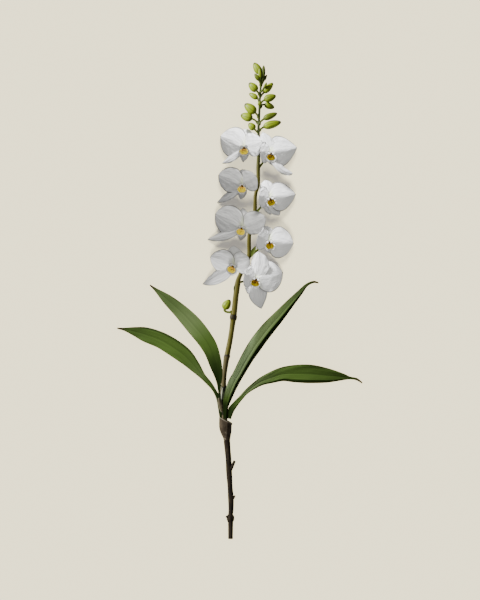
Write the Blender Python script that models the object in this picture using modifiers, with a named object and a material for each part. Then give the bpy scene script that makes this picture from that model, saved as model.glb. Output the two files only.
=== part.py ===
"""A dendrobium orchid: one cut flowering stem, lying down with its blooms facing up.

The stem runs along Y with its bud tip at +Y, X goes across it and Z is up. The origin
is under the middle of the stem, on the surface that it lies on. Sizes are in
millimetres here and become metres where a mesh is made.
"""

import math
from collections import namedtuple

import bmesh
import bpy
import numpy as np
from mathutils import Matrix, Vector

MM = 0.001
PART_NAME = "dendrobium_orchid"

# Walls, the gap between a stalklet and the bloom that it carries, and how close points are merged
PETAL_WALL = 0.8
LEAF_WALL = 0.9
CREST_WALL = 1.0
SEAT_GAP = 0.3
WELD = 0.01

# Grid of one blade: cells along it and across it
PETAL_CELLS = (6, 6)
SEPAL_CELLS = (6, 4)
LIP_CELLS = (4, 6)
LEAF_CELLS = (18, 6)
CREST_CELLS = (4, 4)
SCALE_CELLS = (3, 2)
PATH_STEPS = 48
ROW_REACH = 1e-4

# Round bodies: sides and rings of an ovoid, and how round a stem is
OVOID_CELLS = (8, 5)
TUBE_RESOLUTION = 2
THIN_TUBE_RESOLUTION = 1
SHARP_ANGLE = 40.0

# A knot is a point on a stem's centre line and how thick the stem is there
Knot = namedtuple("Knot", "x y z across")

CANE = (
    Knot(-11.0, -275.0, 3.4, 5.6),
    Knot(-10.9, -255.0, 4.2, 6.2),
    Knot(-10.9, -252.6, 4.4, 8.8),
    Knot(-10.9, -248.5, 4.6, 8.6),
    Knot(-10.8, -246.5, 4.7, 5.8),
    Knot(-10.3, -240.0, 5.0, 6.1),
    Knot(-10.5, -228.0, 5.6, 6.8),
    Knot(-11.3, -216.0, 6.2, 6.2),
    Knot(-12.6, -197.0, 7.2, 7.0),
    Knot(-13.2, -184.0, 7.9, 6.8),
    Knot(-14.0, -175.0, 8.4, 7.1),
    Knot(-14.8, -165.5, 8.9, 7.4),
    Knot(-15.2, -160.8, 9.2, 7.4),
)

CANE_STUBS = (
    (Knot(-12.0, -197.0, 7.4, 4.2), Knot(-9.2, -191.0, 9.4, 3.8), Knot(-6.2, -184.5, 10.8, 2.8)),
    (Knot(-11.0, -250.2, 5.0, 4.6), Knot(-14.4, -249.6, 6.4, 3.4), Knot(-16.2, -248.6, 6.8, 2.0)),
    (Knot(-10.4, -229.0, 6.0, 4.6), Knot(-7.4, -227.0, 7.0, 3.0), Knot(-5.9, -224.6, 7.4, 1.6)),
)

SHEATH = (
    Knot(-15.2, -160.4, 9.3, 7.6),
    Knot(-15.3, -157.0, 9.5, 9.0),
    Knot(-16.0, -151.5, 9.8, 12.6),
    Knot(-16.7, -146.0, 10.1, 14.6),
    Knot(-16.8, -141.0, 10.4, 14.8),
    Knot(-16.4, -136.2, 10.7, 15.4),
)

STALK = (
    Knot(-17.2, -135.8, 11.0, 4.6),
    Knot(-17.9, -119.5, 12.0, 5.0),
    Knot(-18.7, -97.0, 13.0, 5.6),
    Knot(-17.9, -83.7, 13.7, 5.8),
    Knot(-15.8, -68.0, 14.4, 6.6),
    Knot(-14.8, -63.5, 14.6, 7.4),
    Knot(-14.4, -60.5, 14.7, 6.5),
    Knot(-10.9, -42.6, 15.6, 6.1),
    Knot(-8.2, -24.0, 16.3, 6.4),
    Knot(-7.7, -20.4, 16.5, 8.2),
    Knot(-7.3, -16.4, 16.6, 8.2),
    Knot(-6.7, -13.6, 16.7, 6.7),
    Knot(-4.9, 3.6, 17.1, 6.6),
    Knot(-2.9, 18.4, 17.4, 6.6),
    Knot(-0.8, 27.4, 17.6, 5.2),
    Knot(6.6, 43.0, 17.8, 4.9),
    Knot(10.2, 52.0, 17.9, 4.7),
    Knot(10.6, 74.8, 18.0, 4.5),
    Knot(14.0, 89.0, 18.0, 4.5),
    Knot(17.0, 101.2, 18.0, 4.6),
    Knot(17.6, 120.8, 18.0, 4.1),
    Knot(20.0, 130.0, 17.9, 4.1),
    Knot(21.1, 136.5, 17.8, 4.2),
    Knot(20.9, 150.7, 17.5, 4.4),
    Knot(21.3, 168.0, 17.2, 3.9),
    Knot(21.4, 185.2, 16.8, 3.4),
    Knot(21.3, 199.5, 16.4, 3.1),
    Knot(22.1, 215.0, 15.9, 2.9),
    Knot(23.0, 235.8, 15.0, 2.6),
    Knot(24.2, 251.9, 14.2, 2.2),
    Knot(24.2, 262.0, 13.8, 1.9),
)

# Small pointed scales where a bloom's stalklet leaves the stalk: foot, heading, length, width
STALK_SCALES = (
    ((-4.6, 9.0, 18.4), 98.0, 10.0, 4.6),
    ((11.2, 50.0, 18.6), 62.0, 15.0, 5.0),
    ((17.6, 100.0, 18.6), 52.0, 8.0, 3.6),
)
SCALE_SLOPE = 8.0
SCALE_CUP = 0.9

# A bud: where its stalklet leaves the stalk, its own foot and tip, and how thick it is
Bud = namedtuple("Bud", "leaves_at foot tip across")

BUDS = (
    Bud(-12.6, (-18.6, -9.4, 15.0), (-11.6, 1.4, 17.5), 9.6),
    Bud(193.0, (17.0, 197.4, 18.0), (10.0, 204.4, 19.0), 8.2),
    Bud(194.0, (26.8, 200.6, 16.4), (47.4, 206.4, 13.6), 9.2),
    Bud(203.0, (14.4, 210.2, 14.6), (0.8, 214.4, 12.4), 10.2),
    Bud(201.0, (26.8, 209.6, 17.8), (42.8, 216.2, 17.0), 7.4),
    Bud(209.0, (18.2, 216.6, 17.2), (5.4, 226.8, 17.0), 10.8),
    Bud(221.0, (28.2, 227.0, 12.8), (39.6, 222.8, 10.6), 7.6),
    Bud(222.0, (22.8, 224.4, 17.0), (22.4, 230.4, 19.0), 4.6),
    Bud(226.0, (27.6, 231.4, 17.4), (41.4, 236.4, 17.8), 9.0),
    Bud(227.0, (20.4, 233.4, 14.0), (10.6, 239.4, 11.6), 6.4),
    Bud(234.0, (27.0, 240.0, 13.4), (38.0, 251.4, 11.6), 7.8),
    Bud(240.0, (27.4, 245.0, 17.4), (30.8, 251.4, 18.2), 3.2),
    Bud(235.0, (19.8, 241.8, 16.6), (10.4, 251.0, 17.0), 9.2),
    Bud(246.0, (27.0, 253.6, 13.0), (31.0, 261.0, 12.0), 3.4),
    Bud(246.0, (22.2, 253.8, 16.2), (16.8, 261.8, 17.0), 5.0),
    Bud(250.0, (26.2, 256.6, 14.8), (27.4, 271.6, 13.8), 5.0),
    Bud(252.0, (23.2, 256.0, 16.0), (22.6, 268.4, 16.6), 4.2),
    Bud(254.0, (23.4, 261.8, 12.8), (16.2, 274.8, 11.6), 9.0),
)
BUD_STALKLET = 2.3
LOW_BUD_STALKLET = 2.6
BUD_STALKLET_KNOTS = 4
BUD_TAPER = 0.22

# How far a stalklet runs into its bud, as a share of the bud's length
BUD_SINK = 0.3

# A rib is a point on a leaf's middle line, the leaf's width there and how far it is turned
Rib = namedtuple("Rib", "x y z width turn")

LEAVES = {
    "leaf_left_upper": (
        Rib(-20.9, -135.6, 10.6, 4.0, -76.0),
        Rib(-22.2, -120.0, 12.4, 4.6, -74.0),
        Rib(-23.4, -104.0, 16.0, 5.6, -60.0),
        Rib(-24.0, -93.6, 18.4, 7.4, -40.0),
        Rib(-25.0, -84.4, 20.4, 11.2, -22.0),
        Rib(-28.2, -71.0, 22.4, 15.0, -14.0),
        Rib(-33.4, -55.5, 23.4, 17.8, -10.0),
        Rib(-41.6, -42.0, 23.4, 19.5, -8.0),
        Rib(-53.9, -26.8, 22.0, 20.0, -6.0),
        Rib(-67.6, -12.5, 18.6, 16.8, -4.0),
        Rib(-82.7, 0.9, 12.6, 12.3, -2.0),
        Rib(-97.3, 13.0, 4.4, 4.1, 0.0),
        Rib(-104.4, 18.6, 1.0, 1.4, 0.0),
    ),
    "leaf_left_lower": (
        Rib(-22.0, -135.6, 13.6, 3.2, -50.0),
        Rib(-23.4, -122.0, 15.8, 4.4, -22.0),
        Rib(-25.4, -111.0, 16.6, 4.8, -22.0),
        Rib(-29.6, -102.6, 16.8, 4.6, -30.0),
        Rib(-35.0, -95.1, 16.8, 6.2, -30.0),
        Rib(-43.2, -86.2, 17.0, 7.4, -22.0),
        Rib(-51.9, -75.5, 17.6, 13.3, -14.0),
        Rib(-63.0, -63.6, 18.2, 18.4, -8.0),
        Rib(-75.9, -54.0, 17.8, 19.8, -4.0),
        Rib(-91.0, -45.2, 15.8, 19.0, -2.0),
        Rib(-108.1, -38.9, 11.8, 17.2, 0.0),
        Rib(-121.1, -35.3, 7.2, 11.0, 0.0),
        Rib(-133.1, -32.8, 2.4, 4.1, 0.0),
        Rib(-142.4, -31.5, 0.9, 1.4, 0.0),
    ),
    "leaf_right_upper": (
        Rib(-17.4, -135.6, 16.0, 3.6, 0.0),
        Rib(-16.6, -123.0, 16.7, 6.2, 4.0),
        Rib(-14.5, -112.7, 17.4, 10.2, 6.0),
        Rib(-10.8, -102.4, 18.4, 12.0, 8.0),
        Rib(-6.8, -93.2, 19.4, 13.7, 10.0),
        Rib(-1.8, -84.3, 20.6, 13.7, 12.0),
        Rib(5.7, -70.4, 22.6, 15.4, 12.0),
        Rib(13.4, -57.4, 24.2, 16.7, 8.0),
        Rib(21.7, -45.2, 24.6, 16.9, 6.0),
        Rib(32.4, -31.5, 23.6, 16.1, 4.0),
        Rib(45.3, -17.1, 20.4, 13.3, 2.0),
        Rib(58.0, -2.6, 14.8, 9.8, 0.0),
        Rib(69.0, 9.5, 8.2, 6.6, 0.0),
        Rib(77.0, 18.3, 3.4, 3.6, 0.0),
        Rib(85.0, 22.0, 1.4, 2.7, 0.0),
        Rib(91.1, 20.9, 0.9, 1.5, 0.0),
    ),
    "leaf_right_lower": (
        Rib(-12.9, -135.6, 13.9, 5.0, -10.0),
        Rib(-10.2, -125.6, 14.4, 7.4, -4.0),
        Rib(-4.9, -118.3, 14.9, 6.4, 0.0),
        Rib(1.1, -111.5, 15.5, 5.2, 4.0),
        Rib(6.6, -105.4, 16.0, 5.4, 8.0),
        Rib(12.8, -100.2, 16.4, 6.8, 10.0),
        Rib(24.1, -92.8, 17.2, 9.9, 10.0),
        Rib(37.2, -87.8, 18.0, 14.2, 10.0),
        Rib(49.6, -84.1, 18.4, 16.9, 6.0),
        Rib(63.8, -83.6, 17.8, 20.7, 4.0),
        Rib(81.1, -84.0, 15.4, 21.7, 2.0),
        Rib(101.0, -86.0, 10.6, 16.9, 0.0),
        Rib(117.8, -87.6, 5.4, 8.8, 0.0),
        Rib(126.9, -89.0, 2.8, 3.5, 0.0),
        Rib(135.0, -90.5, 1.3, 2.9, 0.0),
        Rib(141.7, -95.0, 0.9, 1.5, 0.0),
    ),
}
# The edges of a leaf stand above its middle by this share of its width
LEAF_CHANNEL = 0.06
CHANNEL_POWER = 1.3

# A fold down the right side of a leaf: how far out it starts, from 0 at the middle to 1 at
# the edge, and how steeply the leaf drops beyond it
LEAF_FOLDS = {"leaf_right_upper": (0.42, 0.9), "leaf_right_lower": (0.66, 0.8), "leaf_left_lower": (0.8, 0.6)}
NO_FOLD = (1.0, 0.0)

# How far either side of a place, counted in ribs, a leaf's direction is read
TANGENT_STEP = 0.15

# A blade is one petal, sepal or lip. Angles are in degrees: heading and sweep turn it in
# plan, slope and curl raise or drop it, roll and twist lift its left edge. Cup raises both
# edges by that many millimetres, crease says how much of the cup is a fold along the middle.
Blade = namedtuple(
    "Blade",
    "heading length width slope curl roll twist cup crease sweep skew full sharp",
    defaults=(0.0, 0.0, 0.0, 0.0, -2.0, 0.4, 0.0, 0.0, 0.55, 0.75),
)


def petal(heading, length, width, **bends):
    """A broad rounded blade."""
    shape = {"full": 0.5, "sharp": 0.62, "cup": -3.0}
    shape.update(bends)
    return Blade(heading, length, width, **shape)


def sepal(heading, length, width, **bends):
    """A narrower blade with a drawn-out tip."""
    shape = {"full": 0.6, "sharp": 0.85, "cup": -1.6}
    shape.update(bends)
    return Blade(heading, length, width, **shape)


# A bloom: its heart, the way its lip points, the way it leans and how far, where its
# stalklet leaves the stalk, and its tepals in the order outer petal, inner petal,
# upper sepal, outer sepal, inner sepal.
Bloom = namedtuple("Bloom", "heart lip_heading lean_heading lean leaves_at tepals")

BLOOMS = {
    "left_1": Bloom((5.0, 177.2, 23.0), 272.0, 180.0, 12.0, 172.0, (
        petal(157.0, 35.0, 36.0, slope=-6.0, curl=-24.0, roll=-2.0, sharp=0.55, cup=-5.0, crease=0.5),
        petal(18.0, 21.5, 29.0, slope=3.0, curl=-16.0, roll=-6.0),
        sepal(93.0, 23.0, 20.0, slope=-8.0, curl=-26.0, sharp=0.55),
        sepal(222.0, 35.0, 11.0, slope=2.0, curl=-30.0, roll=26.0, sweep=-18.0),
        sepal(252.0, 24.0, 12.0, slope=-34.0, curl=-18.0),
    )),
    "left_2": Bloom((3.0, 133.6, 23.0), 266.0, 180.0, 12.0, 132.0, (
        petal(159.0, 34.0, 30.0, slope=-2.0, curl=-26.0, roll=-6.0, sharp=0.55),
        petal(34.0, 19.0, 28.0, slope=12.0, curl=-18.0, roll=-6.0),
        sepal(97.0, 20.0, 18.0, slope=-14.0, curl=-20.0, sharp=0.55),
        sepal(216.0, 42.0, 12.0, slope=-8.0, curl=-26.0, roll=20.0, sweep=-12.0),
        sepal(250.0, 24.0, 12.0, slope=-34.0, curl=-18.0),
    )),
    "left_3": Bloom((2.6, 84.8, 23.0), 258.0, 180.0, 12.0, 84.0, (
        petal(155.0, 39.0, 36.0, slope=-4.0, curl=-22.0, roll=-6.0, sharp=0.55),
        petal(24.0, 29.0, 28.0, slope=-2.0, curl=-10.0, roll=-4.0),
        sepal(95.0, 25.0, 19.0, slope=-16.0, curl=-20.0),
        sepal(206.0, 48.0, 13.0, slope=-6.0, curl=-19.0, roll=18.0, sweep=-18.0),
        sepal(248.0, 22.0, 12.0, slope=-34.0, curl=-18.0),
    )),
    "left_4": Bloom((-7.0, 41.0, 23.0), 246.0, 180.0, 12.0, 34.0, (
        petal(162.0, 34.0, 28.0, slope=-8.0, curl=-22.0, roll=-4.0, cup=-3.0, crease=0.3),
        petal(22.0, 19.5, 27.0, slope=-2.0, curl=-8.0, roll=-4.0),
        sepal(98.0, 25.0, 24.0, slope=-12.0, curl=-20.0),
        sepal(217.0, 48.0, 17.0, slope=-6.0, curl=-21.0, roll=14.0, sweep=-18.0),
        sepal(248.0, 17.0, 11.0, slope=-34.0, curl=-10.0),
    )),
    "right_1": Bloom((35.0, 170.4, 23.0), 268.0, 0.0, 14.0, 152.0, (
        petal(11.0, 36.0, 36.0, slope=-2.0, curl=-24.0, sharp=0.85, cup=-6.0, crease=0.7),
        petal(178.0, 15.0, 25.0, slope=22.0, curl=6.0, roll=4.0),
        sepal(108.0, 26.0, 18.0, slope=-2.0, curl=-20.0),
        sepal(-77.0, 40.0, 9.5, slope=22.0, curl=-52.0, roll=-16.0, sweep=74.0, sharp=0.5),
        sepal(298.0, 22.0, 11.0, slope=-34.0, curl=-20.0),
    )),
    "right_2": Bloom((34.0, 118.4, 23.0), 282.0, 0.0, 14.0, 100.0, (
        petal(8.0, 35.0, 34.0, slope=-2.0, curl=-24.0, sharp=0.75, cup=-6.0, crease=0.7),
        petal(172.0, 16.0, 25.0, slope=22.0, curl=6.0, roll=4.0),
        sepal(98.0, 22.0, 18.0, slope=-6.0, curl=-20.0, sharp=0.6),
        sepal(-50.0, 29.0, 18.0, slope=-14.0, curl=-30.0, roll=-10.0),
        sepal(284.0, 24.0, 16.0, slope=-22.0, curl=-24.0),
    )),
    "right_3": Bloom((33.0, 68.6, 23.0), 276.0, 0.0, 14.0, 50.0, (
        petal(-4.0, 33.0, 37.0, slope=-2.0, curl=-24.0, sharp=0.6, cup=-6.0, crease=0.7),
        petal(158.0, 18.0, 27.0, slope=24.0, curl=6.0, roll=4.0),
        sepal(94.0, 19.0, 17.0, slope=-8.0, curl=-20.0, sharp=0.6),
        sepal(-50.0, 24.0, 14.0, slope=-20.0, curl=-30.0, roll=-10.0),
        sepal(288.0, 20.0, 12.0, slope=-36.0, curl=-20.0),
    )),
    "right_4": Bloom((18.0, 25.8, 23.0), 254.0, 0.0, 14.0, 21.0, (
        petal(11.0, 38.0, 38.0, slope=-4.0, curl=-26.0, roll=-4.0, sharp=0.55, cup=-5.0, crease=0.6),
        petal(162.0, 18.0, 26.0, slope=24.0, curl=4.0, roll=4.0),
        sepal(83.0, 31.0, 22.0, slope=8.0, curl=-14.0, sharp=0.6, skew=-0.34),
        sepal(-71.0, 42.0, 25.0, slope=-14.0, curl=-27.0, roll=-6.0, sharp=0.95),
        sepal(250.0, 22.0, 17.0, slope=-24.0, curl=-16.0),
    )),
}

# The first tepals of a bloom are its petals. Sepals grow below them and the lip above them.
PETAL_COUNT = 2
SEPAL_RISE = -1.1
LIP_RISE = 0.9
LIP = {"length": 11.5, "width": 12.5, "slope": -8.0, "curl": 26.0, "cup": 2.4, "full": 0.5, "sharp": 0.5}

# The crest covers this much of the lip along and across it, rounded at its ends
CREST_ALONG = (0.2, 0.83)
CREST_ACROSS = 0.78
CREST_ROUNDING = 0.55
CREST_LIFT = 1.4

# The round core behind a bloom's face, and the column that stands up over its lip
CORE_ACROSS = 5.6
CORE_DROP = 2.6
COLUMN_LENGTH = 4.0
COLUMN_ACROSS = 3.0
COLUMN_RISE = 66.0
COLUMN_TAPER = -0.15

# A bloom's stalklet meets the core from behind, slanted towards the stalk by its reach
STALKLET_ACROSS = 2.3
STALKLET_REACH = 0.9
STALKLET_BEND = 5.0
STALKLET_KNOTS = 5

# Colour and roughness of each finish
FINISHES = {
    "petal_white": ((0.80, 0.80, 0.80), 0.5),
    "lip_gold": ((0.56, 0.33, 0.03), 0.45),
    "leaf_green": ((0.07, 0.13, 0.03), 0.4),
    "stalk_green": ((0.25, 0.24, 0.07), 0.5),
    "cane_brown": ((0.08, 0.05, 0.03), 0.65),
    "sheath_brown": ((0.10, 0.06, 0.04), 0.7),
}


def clear_scene():
    """Removes whatever the file opened with."""
    for thing in list(bpy.data.objects):
        bpy.data.objects.remove(thing, do_unlink=True)


def finish(name):
    """The material of one colour of the plant."""
    found = bpy.data.materials.get(name)
    if found:
        return found
    colour, roughness = FINISHES[name]
    made = bpy.data.materials.new(name)
    made.use_nodes = True
    shader = made.node_tree.nodes["Principled BSDF"]
    shader.inputs["Base Color"].default_value = (*colour, 1.0)
    shader.inputs["Roughness"].default_value = roughness
    shader.inputs["Metallic"].default_value = 0.0
    return made


def add_object(name, data, collection):
    """A new object for a mesh or a curve, linked to a collection."""
    thing = bpy.data.objects.new(name, data)
    collection.objects.link(thing)
    return thing


def baked(thing, name, collection):
    """A plain mesh object of what another object evaluates to, which it takes the place of."""
    bpy.context.view_layer.update()
    graph = bpy.context.evaluated_depsgraph_get()
    mesh = bpy.data.meshes.new_from_object(thing.evaluated_get(graph))
    shape = bmesh.new()
    shape.from_mesh(mesh)
    bmesh.ops.remove_doubles(shape, verts=shape.verts, dist=WELD * MM)
    shape.to_mesh(mesh)
    shape.free()
    place = thing.matrix_world.copy()
    bpy.data.objects.remove(thing, do_unlink=True)
    made = add_object(name, mesh, collection)
    made.matrix_world = place
    return made


def tube(name, knots, resolution, collection):
    """A stem along its knots, as thick at each as the knot says."""
    curve = bpy.data.curves.new(name, "CURVE")
    curve.dimensions = "3D"
    curve.bevel_depth = MM
    curve.bevel_resolution = resolution
    curve.use_fill_caps = True
    curve.twist_mode = "Z_UP"
    spline = curve.splines.new("POLY")
    spline.points.add(len(knots) - 1)
    for point, knot in zip(spline.points, knots):
        point.co = (knot.x * MM, knot.y * MM, knot.z * MM, 1.0)
        point.radius = knot.across / 2.0
    return baked(add_object(name + "_curve", curve, collection), name, collection)


def outline(along, full, sharp):
    """Half-width of a blade from foot to tip, as a share of its widest."""
    widest = full / (full + sharp)
    rise = (along / widest) ** full
    fall = ((1.0 - along) / (1.0 - widest)) ** sharp
    return rise * fall


def blade_frames(blade, root, along):
    """Middle line of a blade, and the way across it and out of its face, at each step along it."""
    steps = np.linspace(0.0, 1.0, PATH_STEPS + 1)
    middle = 0.5 * (steps[1:] + steps[:-1])
    lift = np.radians(blade.slope + blade.curl * middle)
    turn = np.radians(blade.heading + blade.sweep * middle)
    ways = np.stack([np.cos(lift) * np.cos(turn), np.cos(lift) * np.sin(turn), np.sin(lift)], axis=1)
    path = np.vstack([np.zeros(3), np.cumsum(ways, axis=0)]) * blade.length / PATH_STEPS
    centre = np.stack([np.interp(along, steps, path[:, axis]) for axis in range(3)], axis=-1)
    lift = np.radians(blade.slope + blade.curl * along)
    turn = np.radians(blade.heading + blade.sweep * along)
    side = np.stack([-np.sin(turn), np.cos(turn), np.zeros_like(turn)], axis=-1)
    face = np.stack([-np.sin(lift) * np.cos(turn), -np.sin(lift) * np.sin(turn), np.cos(lift)], axis=-1)
    roll = np.radians(blade.roll + blade.twist * along)[..., None]
    across = side * np.cos(roll) + face * np.sin(roll)
    out = face * np.cos(roll) - side * np.sin(roll)
    return centre + np.asarray(root), across, out


def blade_points(blade, root, along, across, lift=0.0):
    """Points of a blade's face: across runs from -1 to 1, lift stands them off along its face."""
    centre, side, out = blade_frames(blade, root, along)
    share = outline(along, blade.full, blade.sharp)
    half = 0.5 * blade.width * share * (1.0 + blade.skew * across)
    fold = (1.0 - blade.crease) * across ** 2 + blade.crease * np.abs(across)
    height = blade.cup * share * fold + lift
    return centre + side * (half * across)[..., None] + out * height[..., None]


def sheet(name, points_at, cells, wall, ends, collection):
    """A closed thin solid on a surface: a grid bent to a formula, split into triangles, given a wall.

    points_at takes the places along and across the grid, from 0 to 1 and from -1 to 1.
    ends says whether the first and the last row come together in a point.
    """
    shape = bmesh.new()
    bmesh.ops.create_grid(shape, x_segments=cells[0], y_segments=cells[1], size=1.0)
    grid = np.array([vertex.co[:2] for vertex in shape.verts])
    along = np.clip(0.5 * (grid[:, 0] + 1.0), 0.0, 1.0)
    first_row = [vertex for vertex, step in zip(shape.verts, along) if step < ROW_REACH]
    last_row = [vertex for vertex, step in zip(shape.verts, along) if step > 1.0 - ROW_REACH]
    for vertex, place in zip(shape.verts, points_at(along, grid[:, 1]) * MM):
        vertex.co = Vector(place)
    for closes, row in zip(ends, (first_row, last_row)):
        if closes:
            bmesh.ops.pointmerge(shape, verts=row, merge_co=row[len(row) // 2].co.copy())
    bmesh.ops.triangulate(shape, faces=shape.faces, quad_method="SHORT_EDGE")
    mesh = bpy.data.meshes.new(name)
    shape.to_mesh(mesh)
    shape.free()
    thing = add_object(name, mesh, collection)
    thicken = thing.modifiers.new("wall", "SOLIDIFY")
    thicken.thickness = wall * MM
    thicken.offset = 0.0
    return baked(thing, name, collection)


def ovoid(name, foot, tip, across, taper, collection):
    """An egg from foot to tip, thinner towards the tip by the taper."""
    foot, tip = Vector(foot), Vector(tip)
    segments, rings = OVOID_CELLS
    shape = bmesh.new()
    bmesh.ops.create_uvsphere(shape, u_segments=segments, v_segments=rings, radius=1.0)
    length = (tip - foot).length
    turn = (tip - foot).to_track_quat("Z", "Y")
    for vertex in shape.verts:
        thin = 0.5 * across * (1.0 - taper * vertex.co.z)
        local = Vector((vertex.co.x * thin, vertex.co.y * thin, 0.5 * length * (vertex.co.z + 1.0)))
        vertex.co = (turn @ local + foot) * MM
    mesh = bpy.data.meshes.new(name)
    shape.to_mesh(mesh)
    shape.free()
    return add_object(name, mesh, collection)


def fuse(name, pieces, material, parts, scrap):
    """One closed body of overlapping pieces."""
    first = pieces[0]
    scrap.objects.unlink(first)
    parts.objects.link(first)
    join = first.modifiers.new("join", "BOOLEAN")
    join.operation = "UNION"
    join.operand_type = "COLLECTION"
    join.collection = scrap
    join.solver = "MANIFOLD"
    made = baked(first, name, parts)
    for thing in list(scrap.objects):
        bpy.data.objects.remove(thing, do_unlink=True)
    return dressed(made, material)


def dressed(thing, material):
    """The same object with its one material, shaded smooth."""
    thing.data.materials.clear()
    thing.data.materials.append(finish(material))
    thing.data.shade_smooth()
    thing.data.set_sharp_from_angle(angle=math.radians(SHARP_ANGLE))
    return thing


def bezier_knots(start, bend, end, across, count):
    """Knots along the arc from start to end that bends towards a third point."""
    start, bend, end = Vector(start), Vector(bend), Vector(end)
    knots = []
    for step in range(count):
        share = step / (count - 1)
        place = start * (1 - share) ** 2 + bend * 2 * share * (1 - share) + end * share ** 2
        knots.append(Knot(*place, across))
    return knots


def stalk_at(distance):
    """The point of the stalk's centre line at a place along Y."""
    ways = [knot.y for knot in STALK]
    return Vector([
        np.interp(distance, ways, [knot.x for knot in STALK]),
        distance,
        np.interp(distance, ways, [knot.z for knot in STALK]),
    ])


def lean_matrix(bloom):
    """Turns a bloom's own up to the way that it leans."""
    way = math.radians(bloom.lean_heading)
    axis = Vector((-math.sin(way), math.cos(way), 0.0))
    return np.array(Matrix.Rotation(math.radians(bloom.lean), 3, axis))


def leaned(bloom, points):
    """Points given round a bloom's heart, leaned and moved to it."""
    return np.asarray(points) @ lean_matrix(bloom).T + np.array(bloom.heart)


def core_centre(bloom):
    """The middle of the small round body behind a bloom's face."""
    return Vector(leaned(bloom, [0.0, 0.0, -CORE_DROP]))


def lip_of(bloom):
    """The blade of a bloom's lip."""
    return Blade(bloom.lip_heading, **LIP)


def tepal_sheet(name, bloom, blade, cells, rise, scrap):
    """One petal, sepal or lip of a bloom, rooted above its heart by the rise."""
    def points_at(along, across):
        return leaned(bloom, blade_points(blade, (0.0, 0.0, rise), along, across))
    return sheet(name, points_at, cells, PETAL_WALL, (True, True), scrap)


def build_bloom(key, bloom, parts, scrap):
    """The white body of a bloom: tepals, lip, column and the core they grow from."""
    pieces = []
    for index, blade in enumerate(bloom.tepals):
        is_petal = index < PETAL_COUNT
        cells = PETAL_CELLS if is_petal else SEPAL_CELLS
        rise = 0.0 if is_petal else SEPAL_RISE
        pieces.append(tepal_sheet(f"tepal_{index}", bloom, blade, cells, rise, scrap))
    pieces.append(tepal_sheet("lip", bloom, lip_of(bloom), LIP_CELLS, LIP_RISE, scrap))
    centre = core_centre(bloom)
    up = Vector(leaned(bloom, (0.0, 0.0, 1.0))) - Vector(bloom.heart)
    core_ends = (centre - up * 0.5 * CORE_ACROSS, centre + up * CORE_DROP)
    pieces.append(ovoid("core", *core_ends, CORE_ACROSS, 0.0, scrap))
    way = math.radians(bloom.lip_heading)
    tilt = math.radians(COLUMN_RISE)
    aim = np.array([math.cos(way) * math.cos(tilt), math.sin(way) * math.cos(tilt), math.sin(tilt)])
    column_ends = (leaned(bloom, -aim), leaned(bloom, aim * COLUMN_LENGTH))
    pieces.append(ovoid("column", *column_ends, COLUMN_ACROSS, COLUMN_TAPER, scrap))
    return fuse(f"bloom_{key}", pieces, "petal_white", parts, scrap)


def build_crest(key, bloom, parts):
    """The gold crest in a bloom's lip."""
    def points_at(along, across):
        span = CREST_ALONG[0] + (CREST_ALONG[1] - CREST_ALONG[0]) * along
        narrow = CREST_ACROSS * across * np.sqrt(1.0 - (2.0 * along - 1.0) ** 2 * CREST_ROUNDING)
        return leaned(bloom, blade_points(lip_of(bloom), (0.0, 0.0, LIP_RISE), span, narrow, CREST_LIFT))
    made = sheet(f"crest_{key}", points_at, CREST_CELLS, CREST_WALL, (False, False), parts)
    return dressed(made, "lip_gold")


def bloom_stalklet(key, bloom, scrap):
    """The short stem from the stalk to just behind a bloom."""
    centre = core_centre(bloom)
    start = stalk_at(bloom.leaves_at)
    flat = Vector((start.x - centre.x, start.y - centre.y, 0.0)).normalized()
    back = (flat * STALKLET_REACH + Vector((0.0, 0.0, -1.0))).normalized()
    end = centre + back * (0.5 * CORE_ACROSS + SEAT_GAP)
    knots = bezier_knots(start, end + back * STALKLET_BEND, end, STALKLET_ACROSS, STALKLET_KNOTS)
    return tube(f"stalklet_{key}", knots, THIN_TUBE_RESOLUTION, scrap)


def bud_pieces(index, bud, scrap):
    """A closed bud and the stalklet that carries it."""
    foot, tip = Vector(bud.foot), Vector(bud.tip)
    axis = (tip - foot).normalized()
    start = stalk_at(bud.leaves_at)
    thick = LOW_BUD_STALKLET if index == 0 else BUD_STALKLET
    end = foot + axis * BUD_SINK * (tip - foot).length
    bend = foot - axis * 0.5 * (foot - start).length
    knots = bezier_knots(start, bend, end, thick, BUD_STALKLET_KNOTS)
    stalklet = tube(f"bud_stalklet_{index}", knots, THIN_TUBE_RESOLUTION, scrap)
    return [stalklet, ovoid(f"bud_{index}", foot, tip, bud.across, BUD_TAPER, scrap)]


def build_stalk(parts, scrap):
    """The flowering stalk with its scales, bloom stalklets and buds."""
    pieces = [tube("stalk", STALK, TUBE_RESOLUTION, scrap)]
    for index, (foot, heading, length, width) in enumerate(STALK_SCALES):
        blade = Blade(heading, length, width, slope=SCALE_SLOPE, cup=SCALE_CUP)

        def points_at(along, across, blade=blade, foot=foot):
            return blade_points(blade, foot, along, across)
        pieces.append(sheet(f"scale_{index}", points_at, SCALE_CELLS, PETAL_WALL, (True, True), scrap))
    for key, bloom in BLOOMS.items():
        pieces.append(bloom_stalklet(key, bloom, scrap))
    for index, bud in enumerate(BUDS):
        pieces.extend(bud_pieces(index, bud, scrap))
    return fuse("flower_stalk", pieces, "stalk_green", parts, scrap)


def build_cane(parts, scrap):
    """The woody cane below the leaves, with its ring and stubs."""
    pieces = [tube("cane_stem", CANE, TUBE_RESOLUTION, scrap)]
    for index, stub in enumerate(CANE_STUBS):
        pieces.append(tube(f"stub_{index}", stub, THIN_TUBE_RESOLUTION, scrap))
    return fuse("cane", pieces, "cane_brown", parts, scrap)


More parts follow.
